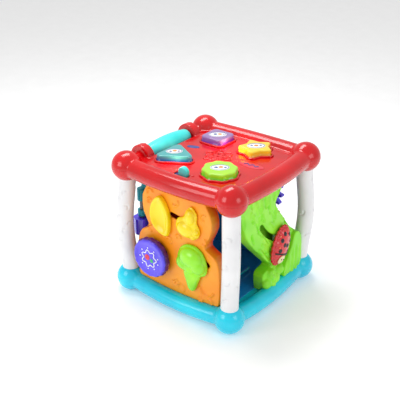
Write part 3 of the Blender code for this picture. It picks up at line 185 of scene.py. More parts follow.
# Polished mould: mirror-like, with an orange peel about 3 mm across
RED = moulded("polished_red_abs", "#C60008", "#DC0610", 0.18, 3, 0.05, coat=0.15)
CYAN = moulded("polished_cyan_abs", "#04C4E4", "#18DCF4", 0.22, 3, 0.05, coat=0.15)
TURQUOISE = moulded("polished_turquoise_abs", "#30E0E0", "#5CF8F0", 0.22, 3, 0.05, coat=0.2)
YELLOW = moulded("polished_yellow_abs", "#F8D800", "#FFEA10", 0.24, 3, 0.05, coat=0.2)
PURPLE = moulded("polished_purple_abs", "#4A34E6", "#6450FA", 0.22, 3, 0.05, coat=0.4)
LADYBIRD_RED = moulded("polished_scarlet_abs", "#D00010", "#E80C1C", 0.16, 2, 0.05, coat=0.6)
# Spark-eroded mould: satin, with a grain drawn at 0.7 mm because the real 0.1 mm would not show
# Painted shade: the orange panel turns a redder orange further in from its face, over its walls and recesses
ORANGE = moulded("satin_orange_abs_painted_wall_shade", "#FF9208", "#FFA81C", 0.38, 0.7, 0.06,
                 painted_shade=("#E84808", -HALF + 0.5 * MM, -HALF + 9 * MM))
# Painted shade: the front panel's cover, seen through the slots, takes a darker orange-red for the shade
# inside them
SLOT_SHADE_ORANGE = moulded("painted_slot_shade_orange_abs", "#D83008", "#E84014", 0.45, 0.7, 0.06)
LIME = moulded("satin_lime_abs", "#7CE414", "#A2F638", 0.36, 0.7, 0.06)
BROCCOLI_LIME = moulded("polished_lime_abs", "#80E408", "#A8F828", 0.24, 2, 0.05, coat=0.3)
WHITE = moulded("satin_white_abs", "#E6E6E8", "#F2F2F3", 0.34, 0.8, 0.05)
BLUE = moulded("satin_blue_abs", "#0878C4", "#1090DC", 0.36, 0.7, 0.06)
TEAL = moulded("satin_teal_abs", "#0A98A8", "#16B0C0", 0.36, 0.7, 0.06)
DARK_PURPLE = moulded("satin_plum_abs", "#4C0E6C", "#641888", 0.35, 0.8, 0.05)
GREY = moulded("satin_grey_abs", "#707478", "#85898D", 0.4, 0.8, 0.05)
DARK = moulded("satin_black_abs", "#0C0C0E", "#18181B", 0.4, 0.8, 0.05)
NAVY = moulded("satin_navy_abs", "#0C1C60", "#14287C", 0.35, 0.8, 0.05)
# Silicone rubber: matt and slightly dusty
SILICONE = moulded("matt_grey_silicone", "#8A8A88", "#9C9C9A", 0.75, 0.9, 0.08)
# Solder-masked laminate: a green lacquer over glass cloth, whose weave barely shows
LAMINATE = moulded("solder_masked_laminate", "#0C5A2C", "#147038", 0.35, 1.2, 0.04)
# Zinc plate on steel: a grey metal with a soft, cloudy shine
ZINC = moulded("zinc_plated_steel", "#A8A8AC", "#C0C0C4", 0.28, 1.5, 0.03, sockets={"Metallic": 1.0})
# Printed inks on stickers: flat colour under a clear varnish
INK_WHITE = moulded("sticker_white_ink", "#F4F4F2", "#FCFCFA", 0.3, 1, 0.02, coat=0.4)
INK_BLUE = moulded("sticker_blue_ink", "#20408C", "#2C50A4", 0.3, 1, 0.02, coat=0.4)
INK_ORANGE = moulded("sticker_orange_ink", "#F08018", "#F89428", 0.3, 1, 0.02, coat=0.4)
INK_RED = moulded("sticker_red_ink", "#D81838", "#E82C48", 0.3, 1, 0.02, coat=0.4)
INK_GREEN = moulded("sticker_green_ink", "#20A868", "#30BC7C", 0.3, 1, 0.02, coat=0.4)
CREAM = moulded("printed_cream_ink", "#F4DCA8", "#FCE8BC", 0.32, 1, 0.02, coat=0.3)
print(len(bpy.data.materials), "moulded and printed finishes")

# %% [markdown]
# The four shape buttons are cast in coloured clear plastic, with a lamp under each in the real toy. Their
# light is painted: the colour pales with height from the skirt to a whitish top, and the button glows in
# that colour, though no lamp stands under it.


# %% Lit plastic, with its glow painted
def tinted(name, skirt, top, painted_glow):
    material = moulded(name, skirt, skirt, 0.14, 2, 0.03, coat=0.5, sockets={
        "Transmission Weight": 0.25, "Emission Strength": painted_glow, "IOR": 1.49})
    tree = material.node_tree
    shader = tree.nodes["Principled BSDF"]
    place = node(tree, "ShaderNodeTexCoord").outputs["Object"]
    # Painted light: the colour pales with height from the skirt to the top, and the button glows in that
    # colour
    height = node(tree, "ShaderNodeSeparateXYZ", {"Vector": place}).outputs["Z"]
    share = node(tree, "ShaderNodeMapRange", {
        "Value": height, "From Min": PANEL_TOP + 2 * MM, "From Max": BUTTON_TOP})
    ramp = node(tree, "ShaderNodeValToRGB", {"Fac": share.outputs["Result"]})
    ramp.color_ramp.elements[0].color = (*linear(skirt), 1)
    ramp.color_ramp.elements[1].color = (*linear(top), 1)
    tree.links.new(ramp.outputs["Color"], shader.inputs["Base Color"])
    tree.links.new(ramp.outputs["Color"], shader.inputs["Emission Color"])
    return material


# Skirt colour, top colour and glow strength; the paler top and the glow are painted light
BUTTON_FINISHES = {
    "triangle": tinted("tinted_blue_plastic", "#084C9C", "#50B4B4", 0.15),
    "square": tinted("tinted_violet_plastic", "#7A1C9C", "#A080B8", 0.15),
    "star": tinted("tinted_amber_plastic", "#D89808", "#F0D838", 0.2),
    "flower": tinted("tinted_lime_plastic", "#6CC80C", "#B0E838", 0.2),
}
print(len(BUTTON_FINISHES), "tinted finishes")

# %% [markdown]
# ## Shapes
# Mouldings are built from balls, bars and raised outlines, laid over one another. A voxel remesh melts
# them into one skin, and a few rounds of smoothing give each edge the small radius that a mould leaves.


# %% Plain shapes
def shape_of(mesh):
    shape = bpy.data.objects.new("shape", mesh)
    bpy.context.scene.collection.objects.link(shape)
    return shape


def from_bmesh(bm):
    mesh = bpy.data.meshes.new("shape")
    bm.to_mesh(mesh)
    bm.free()
    return shape_of(mesh)


def block(low, high):
    bm = bmesh.new()
    low, high = Vector(low), Vector(high)
    place = Matrix.Translation((low + high) / 2) @ Matrix.Diagonal((*(high - low), 1))
    bmesh.ops.create_cube(bm, size=1, matrix=place)
    return from_bmesh(bm)


def bar(start, end, radius, sides=48):
    start = Vector(start)
    run = Vector(end) - start
    place = Matrix.Translation(start + run / 2) @ run.to_track_quat("Z", "Y").to_matrix().to_4x4()
    bm = bmesh.new()
    bmesh.ops.create_cone(bm, cap_ends=True, segments=sides, radius1=radius, radius2=radius,
                          depth=run.length, matrix=place)
    return from_bmesh(bm)


def ball(centre, radii, around=64):
    """A ball, or an egg if it has three radii."""
    radii = (radii,) * 3 if isinstance(radii, float) else radii
    bm = bmesh.new()
    place = Matrix.Translation(centre) @ Matrix.Diagonal((*radii, 1))
    bmesh.ops.create_uvsphere(bm, u_segments=around, v_segments=around // 2, radius=1, matrix=place)
    return from_bmesh(bm)


def egg(x, y, w, rx, ry, rw):
    """A ball with three radii in a side's own frame, in millimetres."""
    return ball((x * MM, y * MM, w * MM), (rx * MM, ry * MM, rw * MM), 40)


def plain(shape):
    """Turn a shape with modifiers, or a curve, into a plain welded mesh."""
    bpy.context.view_layer.update()
    evaluated = shape.evaluated_get(bpy.context.evaluated_depsgraph_get())
    mesh = bpy.data.meshes.new_from_object(evaluated)
    bpy.data.objects.remove(shape, do_unlink=True)
    bm = bmesh.new()
    bm.from_mesh(mesh)
    bmesh.ops.remove_doubles(bm, verts=bm.verts, dist=0.002 * MM)
    bmesh.ops.recalc_face_normals(bm, faces=bm.faces)
    bm.to_mesh(mesh)
    bm.free()
    return shape_of(mesh)


def hose(points, radius, resolution=8, closed=False):
    """A round bar along points."""
    curve = bpy.data.curves.new("hose", "CURVE")
    curve.dimensions = "3D"
    curve.bevel_depth = radius
    curve.bevel_resolution = resolution
    curve.use_fill_caps = True
    line = curve.splines.new("POLY")
    line.points.add(len(points) - 1)
    for point, place in zip(line.points, points):
        point.co = (*place, 1)
    line.use_cyclic_u = closed
    guide = bpy.data.objects.new("guide", curve)
    bpy.context.scene.collection.objects.link(guide)
    return plain(guide)


def joined(*shapes):
    bm = bmesh.new()
    for shape in shapes:
        bm.from_mesh(shape.data)
        bpy.data.objects.remove(shape, do_unlink=True)
    return from_bmesh(bm)


def copied(shape):
    return shape_of(shape.data.copy())


def moved(shape, matrix):
    shape.data.transform(matrix)
    if matrix.determinant() < 0:
        shape.data.flip_normals()
    return shape


# %% Joining, cutting and rounding
def cut(shape, *tools, how="DIFFERENCE"):
    for tool in tools:
        work = shape.modifiers.new("Cut", "BOOLEAN")
        work.operation = how
        work.solver = "MANIFOLD"
        work.object = tool
        shape = plain(shape)
        bpy.data.objects.remove(tool, do_unlink=True)
    return shape


def melted(shape, voxel, rounds=0):
    """One skin over everything in the shape, with its edges rounded."""
    skin = shape.modifiers.new("Skin", "REMESH")
    skin.mode = "VOXEL"
    skin.voxel_size = voxel
    if rounds:
        soften = shape.modifiers.new("Round", "SMOOTH")
        soften.factor = 0.5
        soften.iterations = rounds
    return plain(shape)


def fine_copy(name, voxel, rounds):
    """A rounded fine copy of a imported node."""
    bm = bmesh.new()
    bm.from_mesh(frame["nodes"][name].data)
    bmesh.ops.remove_doubles(bm, verts=bm.verts, dist=0.002 * MM)
    return melted(from_bmesh(bm), voxel, rounds)


def piece(shape, name, material, body, slot, *stands_for):
    """Name a finished shape, give it its finish, and let it ride on its body."""
    shape.name = name
    shape.data.name = name
    shape.data.materials.clear()
    shape.data.materials.append(material)
    shape.data.shade_smooth()
    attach(shape, body)
    if stands_for:
        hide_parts(*stands_for)
    print(name, len(shape.data.polygons), "faces")
    return shape


# %% Outlines
def arc(centre, radius, start, end, count):
    """Points on an arc, with its angles in degrees."""
    angles = np.radians(np.linspace(start, end, count))
    return [(centre[0] + radius * math.cos(a), centre[1] + radius * math.sin(a)) for a in angles]


def oval(long_half, short_half):
    """An oval outline from its two half lengths."""
    return [(x * long_half, y * short_half) for x, y in arc((0, 0), 1, 0, 360, 65)[:-1]]


def lifted(outline, z):
    """An outline as points at one height."""
    return [(x, y, z) for x, y in outline]


def laid_at(x, y, angle):
    """A place on the top, in millimetres, turned by an angle in degrees."""
    return Matrix.Translation((x * MM, y * MM, 0)) @ Matrix.Rotation(math.radians(angle), 4, "Z")


def rounded(corners, radius, steps=8):
    """A polygon with each corner rounded by an arc, anticlockwise."""
    outline = []
    for i, corner in enumerate(corners):
        corner = Vector(corner)
        before = (Vector(corners[i - 1]) - corner).normalized()
        after = (Vector(corners[(i + 1) % len(corners)]) - corner).normalized()
        half = before.angle(after) / 2
        centre = corner + (before + after).normalized() * radius / math.sin(half)
        first = corner + before * radius / math.tan(half) - centre
        last = corner + after * radius / math.tan(half) - centre
        sweep = first.angle_signed(last)
        for step in range(steps + 1):
            outline.append(tuple(centre + Matrix.Rotation(-sweep * step / steps, 2) @ first))
    return outline


def smooth(points, steps=8):
    """A closed curve through points given in millimetres."""
    outline = []
    count = len(points)
    for i in range(count):
        p = [Vector(points[(i + k - 1) % count]) * MM for k in range(4)]
        for step in range(steps):
            t = step / steps
            outline.append(tuple(
                0.5 * (2 * p[1] + (p[2] - p[0]) * t + (2 * p[0] - 5 * p[1] + 4 * p[2] - p[3]) * t**2
                       + (3 * p[1] - p[0] - 3 * p[2] + p[3]) * t**3)))
    return outline


def grown(outline, distance):
    """An outline moved outward, or inward if the distance is negative."""
    points = np.array(outline)
    before = points - np.roll(points, 1, 0)
    after = np.roll(points, -1, 0) - points
    before /= np.linalg.norm(before, axis=1)[:, None]
    after /= np.linalg.norm(after, axis=1)[:, None]
    normal = np.stack([(before + after)[:, 1], -(before + after)[:, 0]], 1)
    normal /= np.linalg.norm(normal, axis=1)[:, None]
    lean = np.maximum(0.6, normal[:, 0] * after[:, 1] - normal[:, 1] * after[:, 0])
    return [tuple(p) for p in points + normal * (distance / lean)[:, None]]


def stacked(levels):
    """A closed body through rings, given as (outline, height) from the bottom up."""
    bm = bmesh.new()
    rings = [[bm.verts.new((x, y, z)) for x, y in outline] for outline, z in levels]
    count = len(rings[0])
    for low, high in zip(rings, rings[1:]):
        for i in range(count):
            k = (i + 1) % count
            bm.faces.new((low[i], low[k], high[k], high[i]))
    bm.faces.new(rings[0][::-1])
    bm.faces.new(rings[-1])
    bmesh.ops.triangulate(bm, faces=[f for f in bm.faces if len(f.verts) > 4])
    bmesh.ops.recalc_face_normals(bm, faces=bm.faces)
    return from_bmesh(bm)


def soft_edged(outline, low, high, radius, steps=6):
    """A raised outline whose upper edge is rounded."""
    levels = [(outline, low)]
    for angle in np.radians(np.linspace(0, 90, steps)):
        ring = grown(outline, -radius * (1 - math.cos(angle)))
        levels.append((ring, high - radius * (1 - math.sin(angle))))
    return stacked(levels)


def domed(outline, centre, profile):
    """A body whose rings shrink towards a centre, given as (share of the outline, height)."""
    middle = np.array(centre)
    points = np.array(outline)
    return stacked([([tuple(middle + (p - middle) * share) for p in points], z) for share, z in profile])


def side_matrix(side):
    """From a side's own frame to the cube's: X to the right seen from outside, Y up, Z outward."""
    turn = Matrix.Rotation(math.radians(SIDES[side]), 4, "Z")
    return turn @ Matrix.Rotation(math.radians(90), 4, "X")


def on_side(side, shape):
    return moved(shape, side_matrix(side))


# %% [markdown]
# ## Relief
# Small raised and sunk marks cover the panels and posts. Each mark is a line drawn on the surface. Every
# point nearer to the line than its half width moves out or in, so the marks are real geometry.


# %% Pressing marks into a surface
def press(flat, marks):
    """How far each flat point (N, 2) moves for marks of (line, half width, height)."""
    rise = np.zeros(len(flat))
    for line, width, height in marks:
        line = np.array(line)
        near = np.full(len(flat), np.inf)
        low, high = line.min(0) - width, line.max(0) + width
        inside = np.all((flat > low) & (flat < high), axis=1)
        points = flat[inside]
        best = np.full(len(points), np.inf)
        for start, end in zip(line[:-1], line[1:]):
            run = end - start
            share = np.clip((points - start) @ run / max(run @ run, 1e-12), 0, 1)
            best = np.minimum(best, np.linalg.norm(points - start - share[:, None] * run, axis=1))
        near[inside] = best
        bulge = np.clip(1 - near / width, 0, 1)
        rise += height * bulge * bulge * (3 - 2 * bulge)
    return rise


def press_panel(shape, side, marks, depth=1.2 * MM):
    """Press marks into the outer face of a panel that is still in the cube's frame."""
    inverse = np.array(side_matrix(side).inverted())[:3, :3]
    count = len(shape.data.vertices)
    place = np.zeros(count * 3, np.float32)
    facing = np.zeros(count * 3, np.float32)
    shape.data.vertices.foreach_get("co", place)
    shape.data.vertices.foreach_get("normal", facing)
    local = place.reshape(-1, 3).astype(float) @ inverse.T
    outward = facing.reshape(-1, 3).astype(float) @ inverse.T
    chosen = (outward[:, 2] > 0.6) & (local[:, 2] > PANEL_FACE - depth)
    local[chosen, 2] += press(local[chosen, :2], marks) * outward[chosen, 2]
    shape.data.vertices.foreach_set("co", (local @ inverse).astype(np.float32).ravel())
    shape.data.update()
    return shape


def curl(x, y, size, start, sweep, shrink=0.55):
    """A hooked line that winds in, in millimetres."""
    angles = np.radians(np.linspace(start, start + sweep, 14))
    radii = 1.25 * size * np.linspace(1, shrink, 14)
    return [((x + r * math.cos(a)) * MM, (y + r * math.sin(a)) * MM) for a, r in zip(angles, radii)]


def star_line(x, y, size):
    points = []
    for tip in range(11):
        radius = size if tip % 2 == 0 else size * 0.45
        angle = math.radians(90 + tip * 36)
        points.append(((x + radius * math.cos(angle)) * MM, (y + radius * math.sin(angle)) * MM))
    return points


# %% [markdown]
# ## Beads
# Spots, printed dots, grille beads and rim bumps are all one small shape, set many times on chosen
# points. Geometry Nodes do that: one tree sets a flattened ball on every point, makes the copies real and
# gives them their finish. The helpers that start, end and run a tree come first, as the posts use them too.


# %% Helpers for Geometry Nodes trees
def new_tree(name, sockets):
    """A tree that takes a mesh, the named sockets and a finish, with its input node's outputs."""
    tree = bpy.data.node_groups.new(name, "GeometryNodeTree")
    for label, kind in {"Geometry": "Geometry", **sockets, "Finish": "Material"}.items():
        tree.interface.new_socket(label, in_out="INPUT", socket_type="NodeSocket" + kind)
    tree.interface.new_socket("Geometry", in_out="OUTPUT", socket_type="NodeSocketGeometry")
    return tree, node(tree, "NodeGroupInput").outputs


def end_tree(tree, made, finish):
    """Make the copies real, give them their finish, and pass them out."""
    real = node(tree, "GeometryNodeRealizeInstances", {"Geometry": made})
    done = node(tree, "GeometryNodeSetMaterial", {"Geometry": real.outputs["Geometry"], "Material": finish})
    node(tree, "NodeGroupOutput", {"Geometry": done.outputs["Geometry"]})
    return tree


def through(tree, shape, **values):
    """Run a tree on a shape, and keep the result as a plain mesh."""
    work = shape.modifiers.new("Nodes", "NODES")
    work.node_group = tree
    for item in tree.interface.items_tree:
        if item.in_out == "INPUT" and item.name in values:
            work[item.identifier] = values[item.name]
    return plain(shape)


# %% A tree that sets beads on points
def bead_tree():
    tree, given = new_tree("set_beads", {"Radius": "Float", "Flatness": "Float"})
    bead = node(tree, "GeometryNodeMeshUVSphere", {"Segments": 20, "Rings": 10, "Radius": given["Radius"]})
    squeeze = node(tree, "ShaderNodeCombineXYZ", {"X": 1.0, "Y": 1.0, "Z": given["Flatness"]})
    flat = node(tree, "GeometryNodeTransform", {"Geometry": bead.outputs["Mesh"],
                                                "Scale": squeeze.outputs["Vector"]})
    upright = node(tree, "FunctionNodeAlignRotationToVector", {
        "Vector": node(tree, "GeometryNodeInputNormal").outputs["Normal"]}, axis="Z")
    placed = node(tree, "GeometryNodeInstanceOnPoints", {
        "Points": given["Geometry"], "Instance": flat.outputs["Geometry"],
        "Rotation": upright.outputs["Rotation"]})
    return end_tree(tree, placed.outputs["Instances"], given["Finish"])


BEADS = bead_tree()


def beads(points, radius, flatness, material, normals=None):
    """Set a flattened bead at each point, facing up or along its normal."""
    bm = bmesh.new()
    for point, normal in zip(points, normals or [(0, 0, 1)] * len(points)):
        normal = Vector(normal).normalized()
        across = normal.orthogonal().normalized() * 0.01 * MM
        along = normal.cross(across)
        corners = [bm.verts.new(Vector(point) + across * c + along * s)
                   for c, s in ((1, 0), (-0.5, 0.87), (-0.5, -0.87))]
        bm.faces.new(corners)
    return through(BEADS, from_bmesh(bm), Radius=radius, Flatness=flatness, Finish=material)


# %% [markdown]
# ## The red top
# Rails and corner balls run into one another with no seam, so they are laid over each other and melted.
# The skin is then split into a cover and a tray, as the real housing is, with a hair-line seam.


# %% Rails and the housing's outline
def rail(ball_z, drop, radius, side):
    """A rail that bows out and down between two balls."""
    path = []
    for x in np.linspace(-HALF, HALF, 49):
        bulge = 1 - (x / HALF)**2
        path.append((x, -HALF - RAIL_BOW * bulge, ball_z - drop * bulge))
    return moved(hose(path, radius, 12), Matrix.Rotation(math.radians(SIDES[side]), 4, "Z"))


TOP_RAIL = (TOP_BALL_Z, 0.8 * MM, 10 * MM)    # middle's height, drop and radius
ROOM = HALF - 9 * MM       # half the room inside the trays
FLANGE_RADIUS = 12.8 * MM
FLANGE_RIM = 3 * MM
FLANGE_DISH = 1.6 * MM
STUB_RADIUS = 6.5 * MM
SPEAKER_HOLE = 1.5 * MM
SCREW_HOLE = 3.1 * MM
FLANGE_WIDTH = 9 * MM
BACK_EDGE = ROLLER_X + 10.9 * MM     # the housing stops here, clear of the roller
BUTTON_GAP = 0.4 * MM
VOXEL = 0.85 * MM
SPEAKER_AT = (-2 * MM, 4 * MM)


def star_outline(centre, tip, valley, tip_round):
    points = []
    for angle in range(0, 360, 72):
        points += arc(centre, tip, angle, angle, 1) + arc(centre, valley, angle + 36, angle + 36, 1)
    return rounded(points, tip_round, 5)


def lobed(centre, radius, lobes, depth, count=120):
    outline = []
    for angle in np.linspace(0, 360, count, endpoint=False):
        outline += arc(centre, radius * (1 + depth * math.cos(math.radians(lobes * angle))), angle, angle, 1)
    return outline


def millimetres(points):
    return [(x * MM, y * MM) for x, y in points]


BUTTONS = {
    "triangle": (rounded(millimetres([(-45.5, -47), (-8.5, -25), (-45.5, -4)]), 5 * MM), (-34.5, -25.5)),
    "square": (rounded(millimetres([(-40.5, 23.5), (-13.5, 23.5), (-13.5, 50.5), (-40.5, 50.5)]), 5 * MM),
               (-27, 37)),
    "star": (star_outline((22 * MM, 36.2 * MM), 19.8 * MM, 12.5 * MM, 3 * MM), (22, 36.2)),
    "flower": (lobed((25 * MM, -29.5 * MM), 17 * MM, 8, 0.04), (25, -29.5)),
}
KNOB_LOW, KNOB_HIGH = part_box("volume_knob")
KNOB_TRAVEL = 5 * MM


def knob_slot(margin, low, high):
    return block((KNOB_LOW.x - KNOB_TRAVEL - margin, KNOB_LOW.y - margin, low),
                 (KNOB_HIGH.x + margin, KNOB_HIGH.y + margin, high))


def roller_end(side):
    """The block, dished flange and stub that hold one end of the roller."""
    inner = ROLLER_HALF + 0.6 * MM
    low, high = sorted((side * inner, side * (HALF - 2 * MM)))
    outer = side * (inner + FLANGE_WIDTH)

    def across(start, end, radius):
        return bar((ROLLER_X, start, TOP_SPLIT), (ROLLER_X, end, TOP_SPLIT), radius)

    holder = block((ROLLER_X + 4 * MM, low, TOP_FLOOR), (BACK_EDGE + 4 * MM, high, PANEL_TOP))
    dish = across(outer - side * FLANGE_DISH, outer + side * MM, FLANGE_RADIUS - FLANGE_RIM)
    flange = cut(across(side * inner, outer, FLANGE_RADIUS), dish)
    stub = bar((ROLLER_X, outer - side * 5 * MM, TOP_SPLIT), (-HALF, side * HALF, TOP_BALL_Z), STUB_RADIUS)
    return [holder, flange, stub]


def make_top():
    solids = [block((BACK_EDGE, -HOUSING_HALF, TOP_FLOOR), (HOUSING_HALF, HOUSING_HALF, PANEL_TOP))]
    solids += roller_end(-1) + roller_end(1)
    solids += [rail(*TOP_RAIL, side) for side in ("front", "right", "back")]
    solids += [ball((x * HALF, y * HALF, TOP_BALL_Z), BALL_RADIUS) for x, y in CORNERS.values()]
    body = melted(joined(*solids), VOXEL, 3)
    reach = 3 * HALF
    cover = cut(copied(body), block((-reach, -reach, 0), (reach, reach, TOP_SPLIT + SEAM)))
    for outline, _ in BUTTONS.values():
        hole = grown(outline, BUTTON_GAP)
        cover = cut(cover, stacked([(hole, TOP_SPLIT - WALL), (hole, BUTTON_TOP)]))
    cover = cut(cover, knob_slot(0.5 * MM, TOP_SPLIT - WALL, BUTTON_TOP))
    for hole in [SPEAKER_AT] + arc(SPEAKER_AT, 6 * MM, 0, 300, 6):
        cover = cut(cover, bar((*hole, TOP_SPLIT - WALL), (*hole, BUTTON_TOP), SPEAKER_HOLE, 20))
    piece(cover, "top_cover_moulding", RED, "frame", "red_plastic", "top_cover")
    tray = cut(body, block((-reach, -reach, TOP_SPLIT - SEAM), (reach, reach, reach)))
    tray = cut(tray, block((BACK_EDGE + WALL, -ROOM, TOP_FLOOR + WALL), (ROOM, ROOM, reach)))
    piece(tray, "top_tray_moulding", RED, "frame", "red_plastic", "top_base")


make_top()

# %% [markdown]
# Round each button the cover rises in a narrow bead, and round the speaker it carries a raised flower.
# Both are swept along their outlines, so they stay crisp where the melted skin would blur them.


# %% Beads and relief on the cover
def make_cover_relief():
    for name, (outline, _) in BUTTONS.items():
        path = lifted(grown(outline, BUTTON_GAP + 1.25 * MM), PANEL_TOP + 0.6 * MM)
        piece(hose(path, 1.1 * MM, 5, closed=True), name + "_rim", RED, "frame", "red_plastic")
    circle = arc(SPEAKER_AT, 9.2 * MM, 0, 360, 65)[:-1]
    for name, outline, radius in (("flower", lobed(SPEAKER_AT, 13.5 * MM, 6, 0.13), 0.9 * MM),
                                  ("ring", circle, 0.7 * MM)):
        shape = hose(lifted(outline, PANEL_TOP), radius, 5, closed=True)
        piece(shape, "speaker_" + name, RED, "frame", "red_plastic")
    dots = lifted(arc(SPEAKER_AT, 12 * MM, 30, 330, 6), PANEL_TOP)
    piece(beads(dots, 1.5 * MM, 0.5, RED), "speaker_beads", RED, "frame", "red_plastic")
    mark = [(KNOB_HIGH.x + 3.2 * MM, (KNOB_LOW.y + KNOB_HIGH.y) / 2 + 3 * MM, PANEL_TOP)]
    piece(beads(mark, 1.4 * MM, 0.6, RED), "volume_mark", RED, "frame", "red_plastic")


make_cover_relief()

# %% [markdown]
# ## Shape buttons
# Each button is its outline raised, with a flange under the cover and a rounded upper edge. A printed
# oval sticker lies on top: white, with a blue line round it and a small picture of plain shapes.


# %% Buttons and their stickers
STICKER_TURN = 40
PICTURES = {
    "triangle": ((0.4, 0.6, 2.2, INK_ORANGE), (-3.6, -0.6, 1.5, INK_BLUE), (4.4, -0.6, 1.4, INK_BLUE)),
    "square": ((-2.6, 0.4, 2.1, INK_BLUE), (2.2, 0.4, 2.2, INK_ORANGE), (6, -0.4, 1.0, INK_BLUE)),
    "star": ((0, 0, 2.3, INK_ORANGE), (-4.6, 0.4, 1.4, INK_BLUE), (4.6, 0.4, 1.4, INK_BLUE)),
    "flower": ((-3.6, 0, 1.9, INK_BLUE), (1, 0.6, 2.2, INK_ORANGE), (5.2, -0.4, 1.4, INK_BLUE)),
}


def make_button(name):
    outline, middle = BUTTONS[name]
    body = "button_" + name
    flange = grown(outline, BUTTON_GAP + 1 * MM)
    levels = [(flange, BUTTON_LOW), (flange, BUTTON_LOW + 1.2 * MM), (outline, BUTTON_LOW + 1.2 * MM)]
    edge = 1.6 * MM
    for angle in np.radians(np.linspace(0, 90, 8)):
        inset = 0.2 * MM + edge * (1 - math.cos(angle))
        levels.append((grown(outline, -inset), BUTTON_TOP - edge * (1 - math.sin(angle))))
    piece(stacked(levels), body + "_cap", BUTTON_FINISHES[name], body,
          {"triangle": "clear_blue", "square": "clear_purple", "star": "clear_yellow",
           "flower": "clear_green"}[name], body)
    long_half, short_half = (9.4 * MM, 6.6 * MM) if name != "triangle" else (8.4 * MM, 5.8 * MM)
    turn = laid_at(*middle, STICKER_TURN)
    edge_line = oval(long_half, short_half)
    sticker = soft_edged(edge_line, BUTTON_TOP, BUTTON_TOP + 0.25 * MM, 0.1 * MM, 3)
    piece(moved(sticker, turn), body + "_sticker", INK_WHITE, body, "white_plastic")
    line = hose(lifted(grown(edge_line, -0.8 * MM), BUTTON_TOP + 0.2 * MM), 0.3 * MM, 3, closed=True)
    piece(moved(line, turn), body + "_sticker_line", INK_BLUE, body, "navy_plastic")
    for number, (x, y, radius, ink) in enumerate(PICTURES[name], 1):
        dot = beads([(x * MM, y * MM, BUTTON_TOP + 0.22 * MM)], radius * MM, 0.16, ink)
        slot = "orange_plastic" if ink is INK_ORANGE else "navy_plastic"
        piece(moved(dot, turn), body + "_picture_" + str(number), ink, body, slot)


for button_name in BUTTONS:
    make_button(button_name)

# %% [markdown]
# ## Knob, roller and labels
# The volume knob is a small tab with a round top. The roller is a turned barrel, fatter in the middle.
# Two labels, a dark blue badge and a red oval, are printed with plain shapes.


# %% Knob, roller and labels
def make_knob():
    width = KNOB_HIGH.x - KNOB_LOW.x
    middle = (KNOB_LOW.x + KNOB_HIGH.x) / 2
    outline = [(-width / 2, KNOB_LOW.z), (width / 2, KNOB_LOW.z)]
    outline += arc((0, KNOB_HIGH.z - width / 2), width / 2, 0, 180, 25)
    depth = KNOB_HIGH.y - KNOB_LOW.y
    levels = []
    for end in (-1, 1):
        for angle in np.radians(np.linspace(90, 0, 5) if end < 0 else np.linspace(0, 90, 5)):
            inset = 1.2 * MM * (1 - math.cos(angle))
            levels.append((grown(outline, -inset), end * (depth / 2 - 1.2 * MM * (1 - math.sin(angle)))))
    place = Matrix.Translation((middle, (KNOB_LOW.y + KNOB_HIGH.y) / 2, 0))
    knob = moved(stacked(levels), place @ Matrix.Rotation(math.radians(90), 4, "X"))
    piece(knob, "volume_knob_cap", TURQUOISE, "volume_knob", "turquoise_plastic", "volume_knob")


def turned(profile, steps=72):
    """A closed profile of (radius, height) points turned about Z."""
    bm = bmesh.new()
    rings = []
    for step in range(steps):
        angle = 2 * math.pi * step / steps
        rings.append([bm.verts.new((r * math.cos(angle), r * math.sin(angle), z)) for r, z in profile])
    for i in range(steps):
        for k in range(len(profile)):
            m = (k + 1) % len(profile)
            bm.faces.new((rings[i][k], rings[(i + 1) % steps][k], rings[(i + 1) % steps][m], rings[i][m]))
    bmesh.ops.recalc_face_normals(bm, faces=bm.faces)
    return from_bmesh(bm)


def make_roller():
    half = ROLLER_HALF
    profile = [(2.4 * MM, half), (2.4 * MM, -half)]
    for y in np.linspace(-half, half, 41):
        fillet = 0.9 * MM * max(0, 1 - (half - abs(y)) / (0.9 * MM))**2
        profile.append((10.4 * MM - 2.6 * MM * (y / half)**2 - fillet, y))
    place = Matrix.Translation((ROLLER_X, 0, TOP_SPLIT)) @ Matrix.Rotation(math.radians(90), 4, "X")
    piece(moved(turned(profile), place), "roller_barrel", TURQUOISE, "roller", "turquoise_plastic", "roller")


def make_labels():
    for name, place, long_half, short_half, ink, slot in (
            ("badge", (-37, 8, 20), 6.8 * MM, 3.2 * MM, INK_BLUE, "navy_plastic"),
            ("label", (37, 6, 0), 14 * MM, 5.6 * MM, INK_RED, "red_plastic")):
        plate = soft_edged(oval(long_half, short_half), PANEL_TOP - 0.1 * MM, PANEL_TOP + 0.35 * MM,
                           0.2 * MM, 3)
        piece(moved(plate, laid_at(*place)), name + "_plate", ink, "frame", slot)
    wave = [((37 + x) * MM, (6 + 1.3 * math.sin(x * 0.9)) * MM, PANEL_TOP + 0.35 * MM)
            for x in np.linspace(-8, 8, 50)]
    piece(hose(wave, 0.55 * MM, 4), "label_wave", INK_BLUE, "frame", "navy_plastic")


make_knob()
make_roller()
make_labels()

# %% [markdown]
# ## Posts
# A post bows out to the corner as it rises. Its cross-section is the same all the way up, so a Geometry
# Nodes tree sweeps a circle along the bowed line, and shallow bark marks are pressed in afterwards.


# %% A tree that sweeps a circle along a line
def sweep_tree():
    tree, given = new_tree("sweep_round", {"Radius": "Float", "Sides": "Int"})
    circle = node(tree, "GeometryNodeCurvePrimitiveCircle", {
        "Resolution": given["Sides"], "Radius": given["Radius"]})
    line = node(tree, "GeometryNodeMeshToCurve", {"Mesh": given["Geometry"]})
    swept = node(tree, "GeometryNodeCurveToMesh", {
        "Curve": line.outputs["Curve"], "Profile Curve": circle.outputs["Curve"], "Fill Caps": True})
    return end_tree(tree, swept.outputs["Mesh"], given["Finish"])


SWEEP = sweep_tree()


